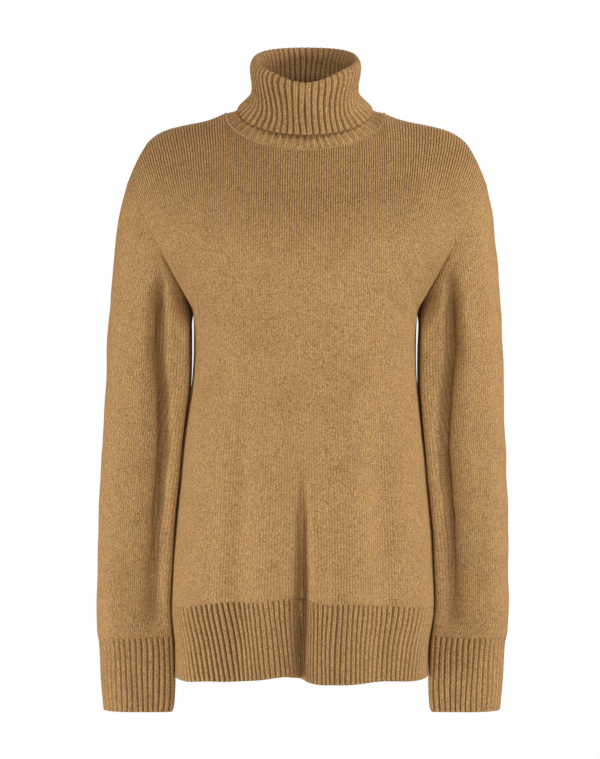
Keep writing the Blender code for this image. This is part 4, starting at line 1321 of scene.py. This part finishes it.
class PULLOVER_OT_stage(bpy.types.Operator):
    """Set up the camera, the soft lights and the pale floor"""

    bl_idname = "pullover.stage"
    bl_label = "Studio"

    def execute(self, context):
        studio = context.scene.pullover_studio
        self.add_camera(context, studio)
        for light in LIGHTS:
            self.add_light(light, getattr(studio, light.setting))
        bpy.data.lights["softbox_left"].spread = studio.fill_spread
        self.add_surround(context, studio)
        place = (0.0, 0.0, FLOOR_HEIGHT)
        bpy.ops.mesh.primitive_circle_add(vertices=96, radius=FLOOR_RADIUS, fill_type="NGON", location=place)
        floor = context.object
        floor.name = "studio_floor"
        floor.data.materials.append(backdrop_paper())
        context.scene.view_settings.view_transform = "Standard"
        return {"FINISHED"}

    def add_camera(self, context, studio):
        data = bpy.data.cameras.new("camera")
        data.lens = studio.focal_length
        camera = new_object("camera", data)
        camera.location = (CAMERA_X, -studio.distance, CAMERA_HEIGHT)
        camera.rotation_euler = (math.radians(90.0), 0.0, 0.0)
        context.scene.camera = camera

    def add_light(self, row, power):
        data = bpy.data.lights.new(row.name, "AREA")
        data.shape = "SQUARE"
        data.size = row.size
        data.energy = power
        light = new_object(row.name, data)
        light.location = (row.x, row.y, row.z)
        towards = Vector((0.0, 0.0, row.aim)) - light.location
        light.rotation_euler = towards.to_track_quat("-Z", "Y").to_euler()

    def add_surround(self, context, studio):
        world = bpy.data.worlds.new("studio_surround")
        world.use_nodes = True
        tree = world.node_tree
        tree.nodes.clear()
        seen = add(tree, "Background", {"Color": (1.0, 1.0, 1.0, 1.0), "Strength": 1.0})
        lit = add(tree, "Background", {"Color": linear("#FFF3E2"), "Strength": studio.surround})
        path = add(tree, "LightPath").outputs["Is Camera Ray"]
        add(tree, "OutputWorld", [add(tree, "MixShader", (path, lit, seen))])
        context.scene.world = world


class PULLOVER_PT_sidebar(bpy.types.Panel):
    """Lists the pullover's settings and pieces"""

    bl_label = "Pullover"
    bl_idname = "PULLOVER_PT_sidebar"
    bl_space_type = "VIEW_3D"
    bl_region_type = "UI"
    bl_category = "Pullover"

    def draw(self, context):
        for settings in (context.scene.pullover_knit, context.scene.pullover_studio):
            for name in settings.__annotations__:
                self.layout.prop(settings, name)
        for operator in OPERATORS:
            self.layout.operator(operator.bl_idname)


OPERATORS = (
    PULLOVER_OT_panels,
    PULLOVER_OT_sleeves,
    PULLOVER_OT_cuffs,
    PULLOVER_OT_hems,
    PULLOVER_OT_collar,
    PULLOVER_OT_stage,
)
CLASSES = (KnitSettings, StudioSettings, *OPERATORS, PULLOVER_PT_sidebar)


def register():
    for cls in CLASSES:
        bpy.utils.register_class(cls)
    bpy.types.Scene.pullover_knit = PointerProperty(type=KnitSettings)
    bpy.types.Scene.pullover_studio = PointerProperty(type=StudioSettings)


def unregister():
    del bpy.types.Scene.pullover_studio
    del bpy.types.Scene.pullover_knit
    for cls in reversed(CLASSES):
        bpy.utils.unregister_class(cls)


def main():
    """Builds every piece in order."""
    bpy.ops.object.select_all(action="DESELECT")
    register()
    bpy.ops.pullover.panels()
    bpy.ops.pullover.sleeves()
    bpy.ops.pullover.cuffs()
    bpy.ops.pullover.hems()
    bpy.ops.pullover.collar()
    bpy.ops.pullover.stage()


if __name__ == "__main__":
    main()
